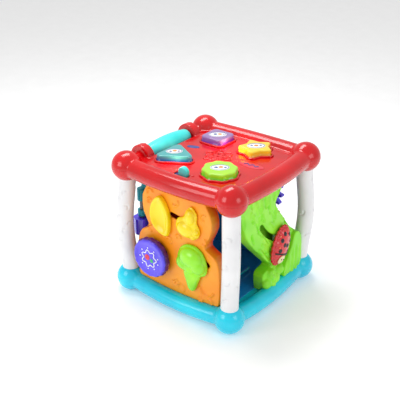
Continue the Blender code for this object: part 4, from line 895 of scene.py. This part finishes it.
# %% Posts
POST_END = 6 * MM          # how far a post runs into each ball


def post_point(corner, z):
    share = min(1, max(0, (z - POST_LOW) / (POST_HIGH - POST_LOW)))
    lean = POST_BOW / math.sqrt(2) * (1 - (2 * share - 1)**2)**2
    return Vector((corner[0] * (HALF + lean), corner[1] * (HALF + lean), z))


def post_marks(seed):
    """Short bark marks round a post, as lines of (distance round, height)."""
    chance = np.random.default_rng(seed)
    marks = []
    for z in np.arange(36, 126, 9.0):
        for _ in range(2):
            around = chance.uniform(-25, 25)
            hook = curl(around, z + chance.uniform(-3, 3), 2.6, chance.uniform(0, 360), 130, 0.8)
            marks.append((hook, 1.3 * MM, -1.1 * MM))
    return marks


def make_post(name, corner, seed):
    heights = np.linspace(POST_LOW - POST_END, POST_HIGH + POST_END, 131)
    mesh = bpy.data.meshes.new("line")
    mesh.from_pydata([post_point(corner, z) for z in heights], [(i, i + 1) for i in range(130)], [])
    post = through(SWEEP, shape_of(mesh), Radius=POST_RADIUS, Sides=64, Finish=WHITE)
    places = np.array([v.co for v in post.data.vertices])
    middles = np.array([post_point(corner, z) for z in places[:, 2]])
    offset = places[:, :2] - middles[:, :2]
    reach = np.linalg.norm(offset, axis=1)
    round_at = np.arctan2(offset[:, 1], offset[:, 0]) * POST_RADIUS
    rise = press(np.stack([round_at, places[:, 2]], 1), post_marks(seed))
    outer = reach > 0.9 * POST_RADIUS
    places[outer, :2] += offset[outer] / reach[outer][:, None] * rise[outer][:, None]
    post.data.vertices.foreach_set("co", places.astype(np.float32).ravel())
    post.data.update()
    screw_low, screw_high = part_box("post_screw_" + name)
    screw = (screw_low + screw_high) / 2
    inward = Vector((-corner[0], -corner[1], 0)).normalized()
    hole = bar(screw - inward * 1.5 * MM, screw + inward * POST_RADIUS, SCREW_HOLE, 28)
    piece(cut(post, hole), "post_" + name + "_tube", WHITE, "frame", "white_plastic", "post_" + name)


for number, (corner_name, corner_signs) in enumerate(CORNERS.items()):
    make_post(corner_name, corner_signs, 11 + number)

# %% [markdown]
# ## The cyan base
# The base is made as the top is: four balls, four rails and a tray melted together, flat under the balls
# where it stands, with a hump over the batteries. It is then split at its own seam.


# %% Base
BASE_SPLIT = 9 * MM
BASE_FLOOR = 14 * MM
BASE_UNDER = 3 * MM
BASE_RAIL = (BASE_BALL_Z, 3.5 * MM, 9 * MM)
HUMP_WALL = 2.7 * MM       # from the battery box to the hump's outside
LINING_SIDE = 3.2 * MM     # from the battery box to the lining's side
LINING_TOP = 3.1 * MM
LINING_VOXEL = 0.75 * MM
PANEL_VOXEL = 0.7 * MM


def make_base():
    solids = [block((-HOUSING_HALF, -HOUSING_HALF, BASE_UNDER), (HOUSING_HALF, HOUSING_HALF, BASE_FLOOR))]
    solids += [rail(*BASE_RAIL, side) for side in SIDES]
    solids += [ball((x * HALF, y * HALF, BASE_BALL_Z), BALL_RADIUS) for x, y in CORNERS.values()]
    box_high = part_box("battery_box")[1]
    x, y = box_high.x + HUMP_WALL, box_high.y + HUMP_WALL
    hump = rounded([(-x, -y), (x, -y), (x, y), (-x, y)], 4 * MM)
    solids.append(stacked([(hump, BASE_FLOOR - WALL), (hump, box_high.z + HUMP_WALL)]))
    body = melted(joined(*solids), VOXEL, 3)
    reach = 2 * HALF
    body = cut(body, block((-reach, -reach, -reach), (reach, reach, 0)))
    upper = cut(copied(body), block((-reach, -reach, -reach), (reach, reach, BASE_SPLIT + SEAM)))
    upper = cut(upper, block((-ROOM, -ROOM, 0), (ROOM, ROOM, BASE_FLOOR - WALL)))
    piece(upper, "base_top_moulding", CYAN, "frame", "cyan_plastic", "base_upper")
    lower = cut(body, block((-reach, -reach, BASE_SPLIT - SEAM), (reach, reach, reach)))
    lower = cut(lower, block((-ROOM, -ROOM, BASE_UNDER + WALL), (ROOM, ROOM, reach)))
    door_low, door_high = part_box("battery_door")
    margin = Vector((0.4, 0.4, 0)) * MM
    hole_low = door_low - margin - Vector((0, 0, 5 * MM))
    lower = cut(lower, block(hole_low, door_high + margin + Vector((0, 0, WALL))))
    for number in range(1, 5):
        low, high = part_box("base_screw_" + str(number))
        middle = (low + high) / 2
        lower = cut(lower, bar((middle.x, middle.y, -MM), (middle.x, middle.y, BASE_SPLIT), SCREW_HOLE, 28))
    piece(lower, "base_bottom_moulding", CYAN, "frame", "cyan_plastic", "base_lower")


# The tray's floor, seen through the arch, is lined with a blue sheet that rises over the hump
def make_inlay():
    half = HALF - 11 * MM
    box_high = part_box("battery_box")[1]
    x, y, top = box_high.x + LINING_SIDE, box_high.y + LINING_SIDE, box_high.z + LINING_TOP
    sheet = soft_edged(rounded([(-half, -half), (half, -half), (half, half), (-half, half)], 6 * MM),
                       BASE_FLOOR - 0.9 * MM, BASE_FLOOR + 0.5 * MM, 0.3 * MM)
    hill = soft_edged(rounded([(-x, -y), (x, -y), (x, y), (-x, y)], 5 * MM), BASE_FLOOR, top, 3 * MM)
    piece(melted(joined(sheet, hill), LINING_VOXEL, 3), "blue_floor_lining", BLUE, "frame", "blue_plastic")


make_base()
make_inlay()

# %% [markdown]
# ## The orange front
# The panel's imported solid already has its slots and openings, so a fine copy of it is rounded and then
# pressed with marks like bark: curls, stars, a crescent. The marks are listed here, and the panel is made
# below with the other three, because all four are made in the same way.

# %% Front panel
FRONT_MARKS = [
    (curl(-32, 122, 4, 200, -170), 1.7 * MM, 2.1 * MM), (curl(-34, 112, 3, 60, 180), 1.7 * MM, 2.1 * MM),
    (curl(-2, 120, 4, 30, -150), 1.7 * MM, 2.0 * MM), (curl(-33, 82, 3.4, 90, 190), 1.7 * MM, 2.1 * MM),
    (curl(-9, 76, 3.6, 150, -200), 1.7 * MM, 2.1 * MM), (curl(2, 83, 3, 20, 170), 1.7 * MM, 2.0 * MM),
    (curl(33, 88, 3.6, 60, -170), 1.7 * MM, 2.1 * MM),
    (star_line(-1, 30, 4.2), 1.4 * MM, 2.1 * MM), (curl(6, 28, 3.2, 300, 160), 1.6 * MM, 2.0 * MM),
    (curl(38, 38, 7, 190, 150, 0.9), 1.8 * MM, 2.2 * MM), (star_line(30, 23, 3.0), 1.4 * MM, 2.0 * MM),
    (curl(42, 24, 3.0, 150, -200), 1.6 * MM, 2.0 * MM), (curl(34, 113, 3.4, 80, 160), 1.7 * MM, 1.4 * MM)]

# %% [markdown]
# ## The green tree, the teal side and the gear side
# The tree is covered in short creases that follow its leaning trunk, scattered with fixed seeds, so that
# every run gives the same ones. Lumps stand at its foot, and its bush has upright folds. The other two
# sides carry a few curls.


# %% Marks on the other sides
def creases(seed, count, low, high, lean, length):
    """Short, slightly bent creases inside a rectangle, in millimetres."""
    chance = np.random.default_rng(seed)
    marks = []
    for _ in range(count):
        x, y = chance.uniform(low, high)
        angle = math.radians(lean + chance.uniform(-22, 22))
        reach = length * chance.uniform(0.6, 1.2)
        bend = chance.uniform(-1.2, 1.2)
        line = []
        for t in np.linspace(-0.5, 0.5, 9):
            sway = bend * math.cos(t * math.pi)
            line.append(((x + t * reach * math.cos(angle) - sway * math.sin(angle)) * MM,
                         (y + t * reach * math.sin(angle) + sway * math.cos(angle)) * MM))
        marks.append((line, chance.uniform(1.9, 2.9) * MM, chance.choice((-1.9, -1.5, 1.4)) * MM))
    return marks


RIGHT_MARKS = (creases(5, 30, (-48, 92), (18, 128), 100, 12) + creases(6, 26, (-38, 62), (40, 92), 125, 9)
               + creases(8, 8, (-6, 32), (24, 60), 120, 7))
FOOT_LUMPS = ((-3, 24, 6), (4, 31, 6.5), (12, 24, 6.5), (19, 31, 6), (6, 20, 5))
BUSH_FOLDS = ((33, 12), (40, 19), (47, 20), (53, 14))


def curls(*places):
    """Marks that each curl from a place, in millimetres, at a starting angle in degrees."""
    return [(curl(x, y, 3.6, start, 170), 1.1 * MM, 1.5 * MM) for x, y, start in places]


LEFT_MARKS = curls((-34, 112, 20), (24, 118, 200), (-38, 36, 100), (20, 30, 300), (30, 46, 60))
BACK_MARKS = curls((26, 116, 40), (24, 66, 220), (34, 34, 120), (4, 24, 300), (-14, 122, 80))


# %% The four panels
def make_panels():
    for side, marks, material, slot in (
            ("front", FRONT_MARKS, ORANGE, "orange_plastic"), ("right", RIGHT_MARKS, LIME, "lime_plastic"),
            ("left", LEFT_MARKS, TEAL, "teal_plastic"), ("back", BACK_MARKS, BLUE, "blue_plastic")):
        name = side + "_panel"
        shape = fine_copy(name, PANEL_VOXEL, 5)
        if side == "right":
            lumps = [egg(x, y, 66, r, r, 5.5) for x, y, r in FOOT_LUMPS]
            lumps += [egg(x, 33, 69.2, 3.6, reach, 2.8) for x, reach in BUSH_FOLDS]
            shape = melted(joined(shape, on_side("right", joined(*lumps))), PANEL_VOXEL, 4)
        shape = press_panel(shape, side, marks)
        piece(shape, name + "_moulding", material, "frame", slot, name)


make_panels()

# %% [markdown]
# ## Front toys
# The banana is a dish with a raised rim. The pear and the broccoli are swollen shapes: domes, eggs and
# leaves laid over one another and melted, which gives the soft joins that moulded toys have.


# %% Banana, pear and broccoli
def swollen(outline, centre, low, high, steps=9):
    """A raised outline with a full, pillow-like top."""
    profile = [(1.0, low), (1.0, low + (high - low) * 0.2)]
    for angle in np.radians(np.linspace(10, 88, steps)):
        profile.append((math.cos(angle), low + (high - low) * (0.2 + 0.8 * math.sin(angle))))
    return domed(outline, centre, profile)


def peg(x, y, low=58.8, high=67):
    return bar((x * MM, y * MM, low * MM), (x * MM, y * MM, high * MM), 2.2 * MM, 24)


def make_front_toys():
    outline = smooth([(-9, 82.5), (-6.5, 92), (-6.5, 104), (-11, 116), (-17, 123), (-23, 121),
                      (-28.5, 112), (-30, 100), (-26, 89), (-17, 83)])
    profile = [(0.97, 65.3), (1.0, 66.3), (1.0, 68.6), (0.975, 70.1), (0.93, 70.9), (0.87, 71.0),
               (0.8, 70.5), (0.72, 69.3), (0.6, 68.3), (0.4, 67.5), (0.2, 67.1), (0.04, 67.0)]
    dish = domed(outline, (-18 * MM, 102 * MM), [(share, z * MM) for share, z in profile])
    dish = cut(dish, peg(-18, 102, high=66.2), how="UNION")
    piece(on_side("front", dish), "banana_dish", YELLOW, "frame", "yellow_plastic", "banana")
    outline = smooth([(12, 88.5), (21, 88.5), (28, 92), (29.5, 100), (26, 107), (26, 116),
                      (20, 122.5), (14, 118), (10, 110), (3, 106), (0.5, 98), (4, 91)])
    pear = joined(swollen(outline, (16 * MM, 100 * MM), 65.6 * MM, 70.5 * MM),
                  egg(14, 98, 67.6, 10.5, 8.6, 6.2),
                  egg(19.5, 112, 67.4, 5.6, 8.6, 5.6), egg(26.2, 98.5, 68, 3.1, 3.4, 3.4),
                  egg(22.5, 91.5, 67.5, 3.4, 2.9, 3.2), peg(9, 103))
    pear = cut(melted(pear, 0.5 * MM, 4), block((-60 * MM, 60 * MM, 0), (60 * MM, 140 * MM, 58.9 * MM)))
    piece(on_side("front", pear), "pear_toy", YELLOW, "pear", "yellow_plastic", "pear")
    head = smooth([(12, 50), (29, 50), (37, 54), (38.5, 64), (34, 75), (26, 81), (15, 81),
                   (7, 76), (3, 67), (2.5, 58), (5, 52)])
    stem = smooth([(18, 31.5), (23.4, 31.5), (27.6, 41), (30.5, 54), (11.5, 54), (14.2, 41)])
    broccoli = joined(
        swollen(head, (20.5 * MM, 65 * MM), 65.6 * MM, 72 * MM), egg(21, 69, 68.5, 14, 11, 8.4),
        egg(11, 61, 68, 8, 8, 6.6), egg(29, 62, 68, 9, 9, 7), egg(20, 57, 68, 9, 6.4, 6.4),
        swollen(stem, (20.8 * MM, 43 * MM), 65.6 * MM, 72.6 * MM), peg(20.6, 69))
    broccoli = cut(melted(broccoli, 0.55 * MM, 5), bar((20.6 * MM, 36 * MM, 60 * MM),
                                                       (20.6 * MM, 36 * MM, 70 * MM), 2.4 * MM, 24))
    piece(on_side("front", broccoli), "broccoli_toy", BROCCOLI_LIME, "broccoli", "lime_plastic", "broccoli")


make_front_toys()

# %% [markdown]
# ## Music button
# A wide purple disc with a darker, scalloped skirt. Its printed picture is a white splash round a red
# ball and a green ball, with dots about it.


# %% Music button
MUSIC_AT = (-28, 53)


def make_music_button():
    centre = (MUSIC_AT[0] * MM, MUSIC_AT[1] * MM)
    skirt_line = lobed(centre, 21.1 * MM, 16, 0.025, 200)
    skirt = soft_edged(skirt_line, 68.5 * MM, 73.6 * MM, 1 * MM)
    hub = bar((*centre, 59.6 * MM), (*centre, 69 * MM), 15.7 * MM, 64)
    bore = bar((*centre, 59 * MM), (*centre, 66.2 * MM), 7 * MM, 40)
    body = joined(skirt, hub)
    body = cut(melted(body, 0.6 * MM, 2), bore)
    piece(on_side("front", body), "music_button_skirt", DARK_PURPLE, "music_button", "purple_plastic",
          "music_button")
    levels = []
    for inset, w in ((0, 73.3), (0, 74.4), (0.3, 75.2), (0.9, 75.8), (1.8, 76.0), (3.4, 75.9), (4.4, 75.4),
                     (8, 75.3), (14, 75.4)):
        levels.append((lobed(centre, (20.4 - inset) * MM, 16, 0.01, 160), w * MM))
    piece(on_side("front", stacked(levels)), "music_button_face", PURPLE, "music_button", "purple_plastic")
    splash = lifted(lobed(centre, 8.4 * MM, 7, 0.16, 140), 75.5 * MM)
    piece(on_side("front", hose(splash, 0.5 * MM, 3, closed=True)), "music_button_splash", INK_WHITE,
          "music_button", "white_plastic")
    for name, offset, radius, ink, slot in (("red_ball", (-2.4, 1), 3.2, INK_RED, "red_plastic"),
                                            ("green_ball", (3.2, -1.6), 2.2, INK_GREEN, "lime_plastic")):
        at = (centre[0] + offset[0] * MM, centre[1] + offset[1] * MM, 75.45 * MM)
        print_dot = on_side("front", beads([at], radius * MM, 0.14, ink))
        piece(print_dot, "music_button_" + name, ink, "music_button", slot)
    dots = beads(lifted(arc(centre, 12 * MM, 15, 345, 9), 75.45 * MM), 0.75 * MM, 0.4, INK_WHITE)
    piece(on_side("front", dots), "music_button_dots", INK_WHITE, "music_button", "white_plastic")


make_music_button()

# %% [markdown]
# ## Ladybird
# A low oval shell with a bumpy rim, black spots, a black neck and a cream face of plain dots. It rides on
# its own joint, along the tree's curved slot.

# %% Ladybird
TRACK_CENTRE = Vector((45.5, 131.2))
TRACK_RADIUS = 70
LADYBIRD_ANGLE = math.radians(248)


def make_ladybird():
    along = Vector((math.cos(LADYBIRD_ANGLE), math.sin(LADYBIRD_ANGLE)))
    across = Vector((-along.y, along.x))
    middle = TRACK_CENTRE + along * (TRACK_RADIUS + 6)
    long_half, short_half, height, under = 21.6, 14.6, 8.6, 66.6

    def shell_point(s, t):
        """The shell's surface at shares of its half length and half width."""
        place = middle + along * s * long_half + across * t * short_half
        return (place.x * MM, place.y * MM, (under + height * math.sqrt(max(0, 1 - s * s - t * t))) * MM)

    def shell_normal(s, t):
        rise = math.sqrt(max(0.02, 1 - s * s - t * t))
        flat = along * s / long_half + across * t / short_half
        return Vector((flat.x, flat.y, rise / height))

    rim = []
    for angle in np.linspace(0, 2 * math.pi, 160, endpoint=False):
        swell = 1 + 0.03 * math.cos(22 * angle)
        spoke = along * long_half * math.cos(angle) + across * short_half * math.sin(angle)
        place = middle + spoke * swell
        rim.append((place.x * MM, place.y * MM))
    profile = [(0.97, under), (1.0, under + 0.8), (1.0, under + 1.9), (0.965, under + 2.5),
               (0.93, under + 2.4)]
    profile += [(math.cos(a), under + height * math.sin(a)) for a in np.radians(np.linspace(24, 88, 14))]
    neck = TRACK_CENTRE + along * TRACK_RADIUS
    shell = cut(domed(rim, tuple(middle * MM), [(share, w * MM) for share, w in profile]),
                peg(neck.x, neck.y, 58.8, 68), how="UNION")
    piece(on_side("right", shell), "ladybird_shell", LADYBIRD_RED, "ladybird", "red_plastic", "ladybird")
    spots = [(-0.62, 0.28), (-0.62, -0.3), (-0.3, 0.52), (-0.3, -0.52), (-0.08, 0.16), (-0.1, -0.2),
             (0.2, 0.5), (0.2, -0.5)]
    flecks = [(-0.8, 0.05), (-0.45, 0.05), (0.02, 0.62), (0.05, -0.62), (-0.5, 0.66), (-0.48, -0.66)]
    for name, places, radius, flatness, ink, slot in (
            ("spots", spots, 2.3 * MM, 0.2, DARK, "dark_plastic"),
            ("flecks", flecks, 0.8 * MM, 0.3, INK_ORANGE, "orange_plastic")):
        shape = beads([shell_point(*place) for place in places], radius, flatness, ink,
                      [shell_normal(*place) for place in places])
        piece(on_side("right", shape), "ladybird_" + name, ink, "ladybird", slot)
    line = [shell_point(0.36, t) for t in np.linspace(-0.78, 0.78, 30)]
    piece(on_side("right", hose(line, 0.9 * MM, 4)), "ladybird_neck", DARK, "ladybird", "dark_plastic")
    face = beads([shell_point(0.64, 0)], 5.2 * MM, 0.24, CREAM, [shell_normal(0.64, 0)])
    piece(on_side("right", face), "ladybird_face", CREAM, "ladybird", "yellow_plastic")
    lift = Vector(shell_normal(0.64, 0)).normalized() * 1.2 * MM
    eyes = [Vector(shell_point(0.6, t)) + lift for t in (-0.14, 0.14)]
    pair = beads(eyes, 0.9 * MM, 0.5, DARK, [lift] * 2)
    piece(on_side("right", pair), "ladybird_eyes", DARK, "ladybird", "dark_plastic")


make_ladybird()

# %% [markdown]
# ## Left and back toys
# The spinner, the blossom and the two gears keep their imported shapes, which have to mesh and turn. Fine
# copies with rounded edges stand for them, and a few printed or raised details are added.


# %% Spinner, blossom and gears
def make_other_toys():
    for name, material, slot, voxel in (
            ("spinner", PURPLE, "purple_plastic", 0.4), ("blossom", YELLOW, "yellow_plastic", 0.55),
            ("large_gear", PURPLE, "purple_plastic", 0.55),
            ("small_gear", LADYBIRD_RED, "red_plastic", 0.5)):
        piece(fine_copy(name, voxel * MM, 4), name + "_toy", material, name, slot, name)
    petals = lifted(arc((-6 * MM, 72 * MM), 15.5 * MM, 0, 315, 8), 71.05 * MM)
    raised = beads(petals, 4.2 * MM, 0.22, INK_ORANGE)
    piece(on_side("left", raised), "blossom_petals", INK_ORANGE, "blossom", "orange_plastic")
    for name, centre, radius, count, ink, slot in (
            ("large_gear", (-14, 88), 11, 7, YELLOW, "yellow_plastic"),
            ("small_gear", (-20.504, 49.546), 9.5, 6, INK_WHITE, "white_plastic")):
        middle = (centre[0] * MM, centre[1] * MM)
        dots = lifted(arc(middle, radius * MM, 0, 360 - 360 / count, count), 71.65 * MM)
        piece(on_side("back", beads(dots, 2.2 * MM, 0.3, ink)), name + "_studs", ink, name, slot)


make_other_toys()

# %% [markdown]
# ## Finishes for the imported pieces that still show
# Screws, pins, axles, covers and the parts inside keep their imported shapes. Each takes a finish of its
# own.

# %% Finishes by node
NODE_FINISHES = {
    "keypad_mat": SILICONE, "circuit_board": LAMINATE, "music_button_switch": LAMINATE, "speaker": DARK,
    "volume_switch": NAVY, "battery_box": DARK, "cell_1": DARK, "cell_2": DARK, "battery_lead": DARK,
    # The front panel's cover takes the darker orange-red as painted shade in the slots
    "battery_door": CYAN, "front_panel_cover": SLOT_SHADE_ORANGE, "right_panel_cover": LIME,
    "left_panel_cover": TEAL, "back_panel_cover": BLUE, "pear_retainer": WHITE,
    "broccoli_retainer": WHITE, "ladybird_retainer": WHITE, "spinner_axle": GREY,
}
for node_name, packed in frame["nodes"].items():
    packed.data.materials.clear()
    packed.data.materials.append(NODE_FINISHES.get(node_name, ZINC))
print(len(NODE_FINISHES), "packed nodes have a finish of their own, the rest are zinc-plated steel")

# %% [markdown]
# ## Floor, light and camera
# A pale floor, a large soft light above that draws long highlights on the rails, a fill from the front,
# and four tiny warm lamps that stand for the light spilling from the buttons.


# %% Stage
def make_stage():
    bm = bmesh.new()
    bmesh.ops.create_grid(bm, x_segments=1, y_segments=1, size=4)
    floor = from_bmesh(bm)
    floor.name = "floor"
    # A lit table of white acrylic: it glows a little, so it stays white beside the saturated toy
    paper = moulded("lit_white_acrylic", "#F8F8F8", "#FCFCFC", 0.8, 2, 0.02, sockets={
        "Emission Color": (1, 1, 1, 1), "Emission Strength": 0.14})
    floor.data.materials.append(paper)
    world = bpy.data.worlds.new("studio")
    bpy.context.scene.world = world
    world.use_nodes = True
    tree = world.node_tree
    seen = node(tree, "ShaderNodeLightPath").outputs["Is Camera Ray"]
    strength = node(tree, "ShaderNodeMapRange", {"Value": seen, "To Min": 0.64, "To Max": 1.0})
    tree.nodes["Background"].inputs["Color"].default_value = (1, 1, 1, 1)
    tree.links.new(strength.outputs["Result"], tree.nodes["Background"].inputs["Strength"])


def soft_light(name, place, aim, size, power, colour=(1, 1, 1)):
    light = bpy.data.lights.new(name, "AREA")
    light.shape = "RECTANGLE"
    light.size, light.size_y = size
    light.energy = power
    light.color = colour
    lamp = bpy.data.objects.new(name, light)
    lamp.location = place
    lamp.rotation_euler = (Vector(aim) - Vector(place)).to_track_quat("-Z", "Y").to_euler()
    bpy.context.scene.collection.objects.link(lamp)


def spill(name, place, power):
    light = bpy.data.lights.new(name, "POINT")
    light.energy = power
    light.color = (1, 0.72, 0.35)
    light.shadow_soft_size = 3 * MM
    lamp = bpy.data.objects.new(name, light)
    lamp.location = place
    lamp.visible_glossy = False
    bpy.context.scene.collection.objects.link(lamp)


make_stage()
MIDDLE = (0, 0, 0.08)
soft_light("top_light", (-0.25, 0.1, 0.75), MIDDLE, (0.5, 0.25), 3.2)
soft_light("front_light", (-0.3, -0.85, 0.5), MIDDLE, (0.45, 0.45), 2.2)
soft_light("side_light", (0.85, -0.1, 0.45), MIDDLE, (0.4, 0.4), 1.2)
for spill_name, spill_place in (("star", (10, 20)), ("flower", (8, -14)), ("triangle", (-20, -40)),
                                ("square", (-8, 30))):
    spill(spill_name + "_spill", (spill_place[0] * MM, spill_place[1] * MM, PANEL_TOP + 6 * MM), 0.012)

# %% Camera
camera_data = bpy.data.cameras.new("camera")
camera_data.lens = 68.9
camera = bpy.data.objects.new("camera", camera_data)
camera.location = (0.4179, -0.5645, 0.4498)
camera_aim = Vector((-0.0192, -0.0035, 0.0931))
camera.rotation_euler = (camera_aim - camera.location).to_track_quat("-Z", "Y").to_euler()
bpy.context.scene.collection.objects.link(camera)
bpy.context.scene.camera = camera
bpy.context.scene.view_settings.view_transform = "Standard"
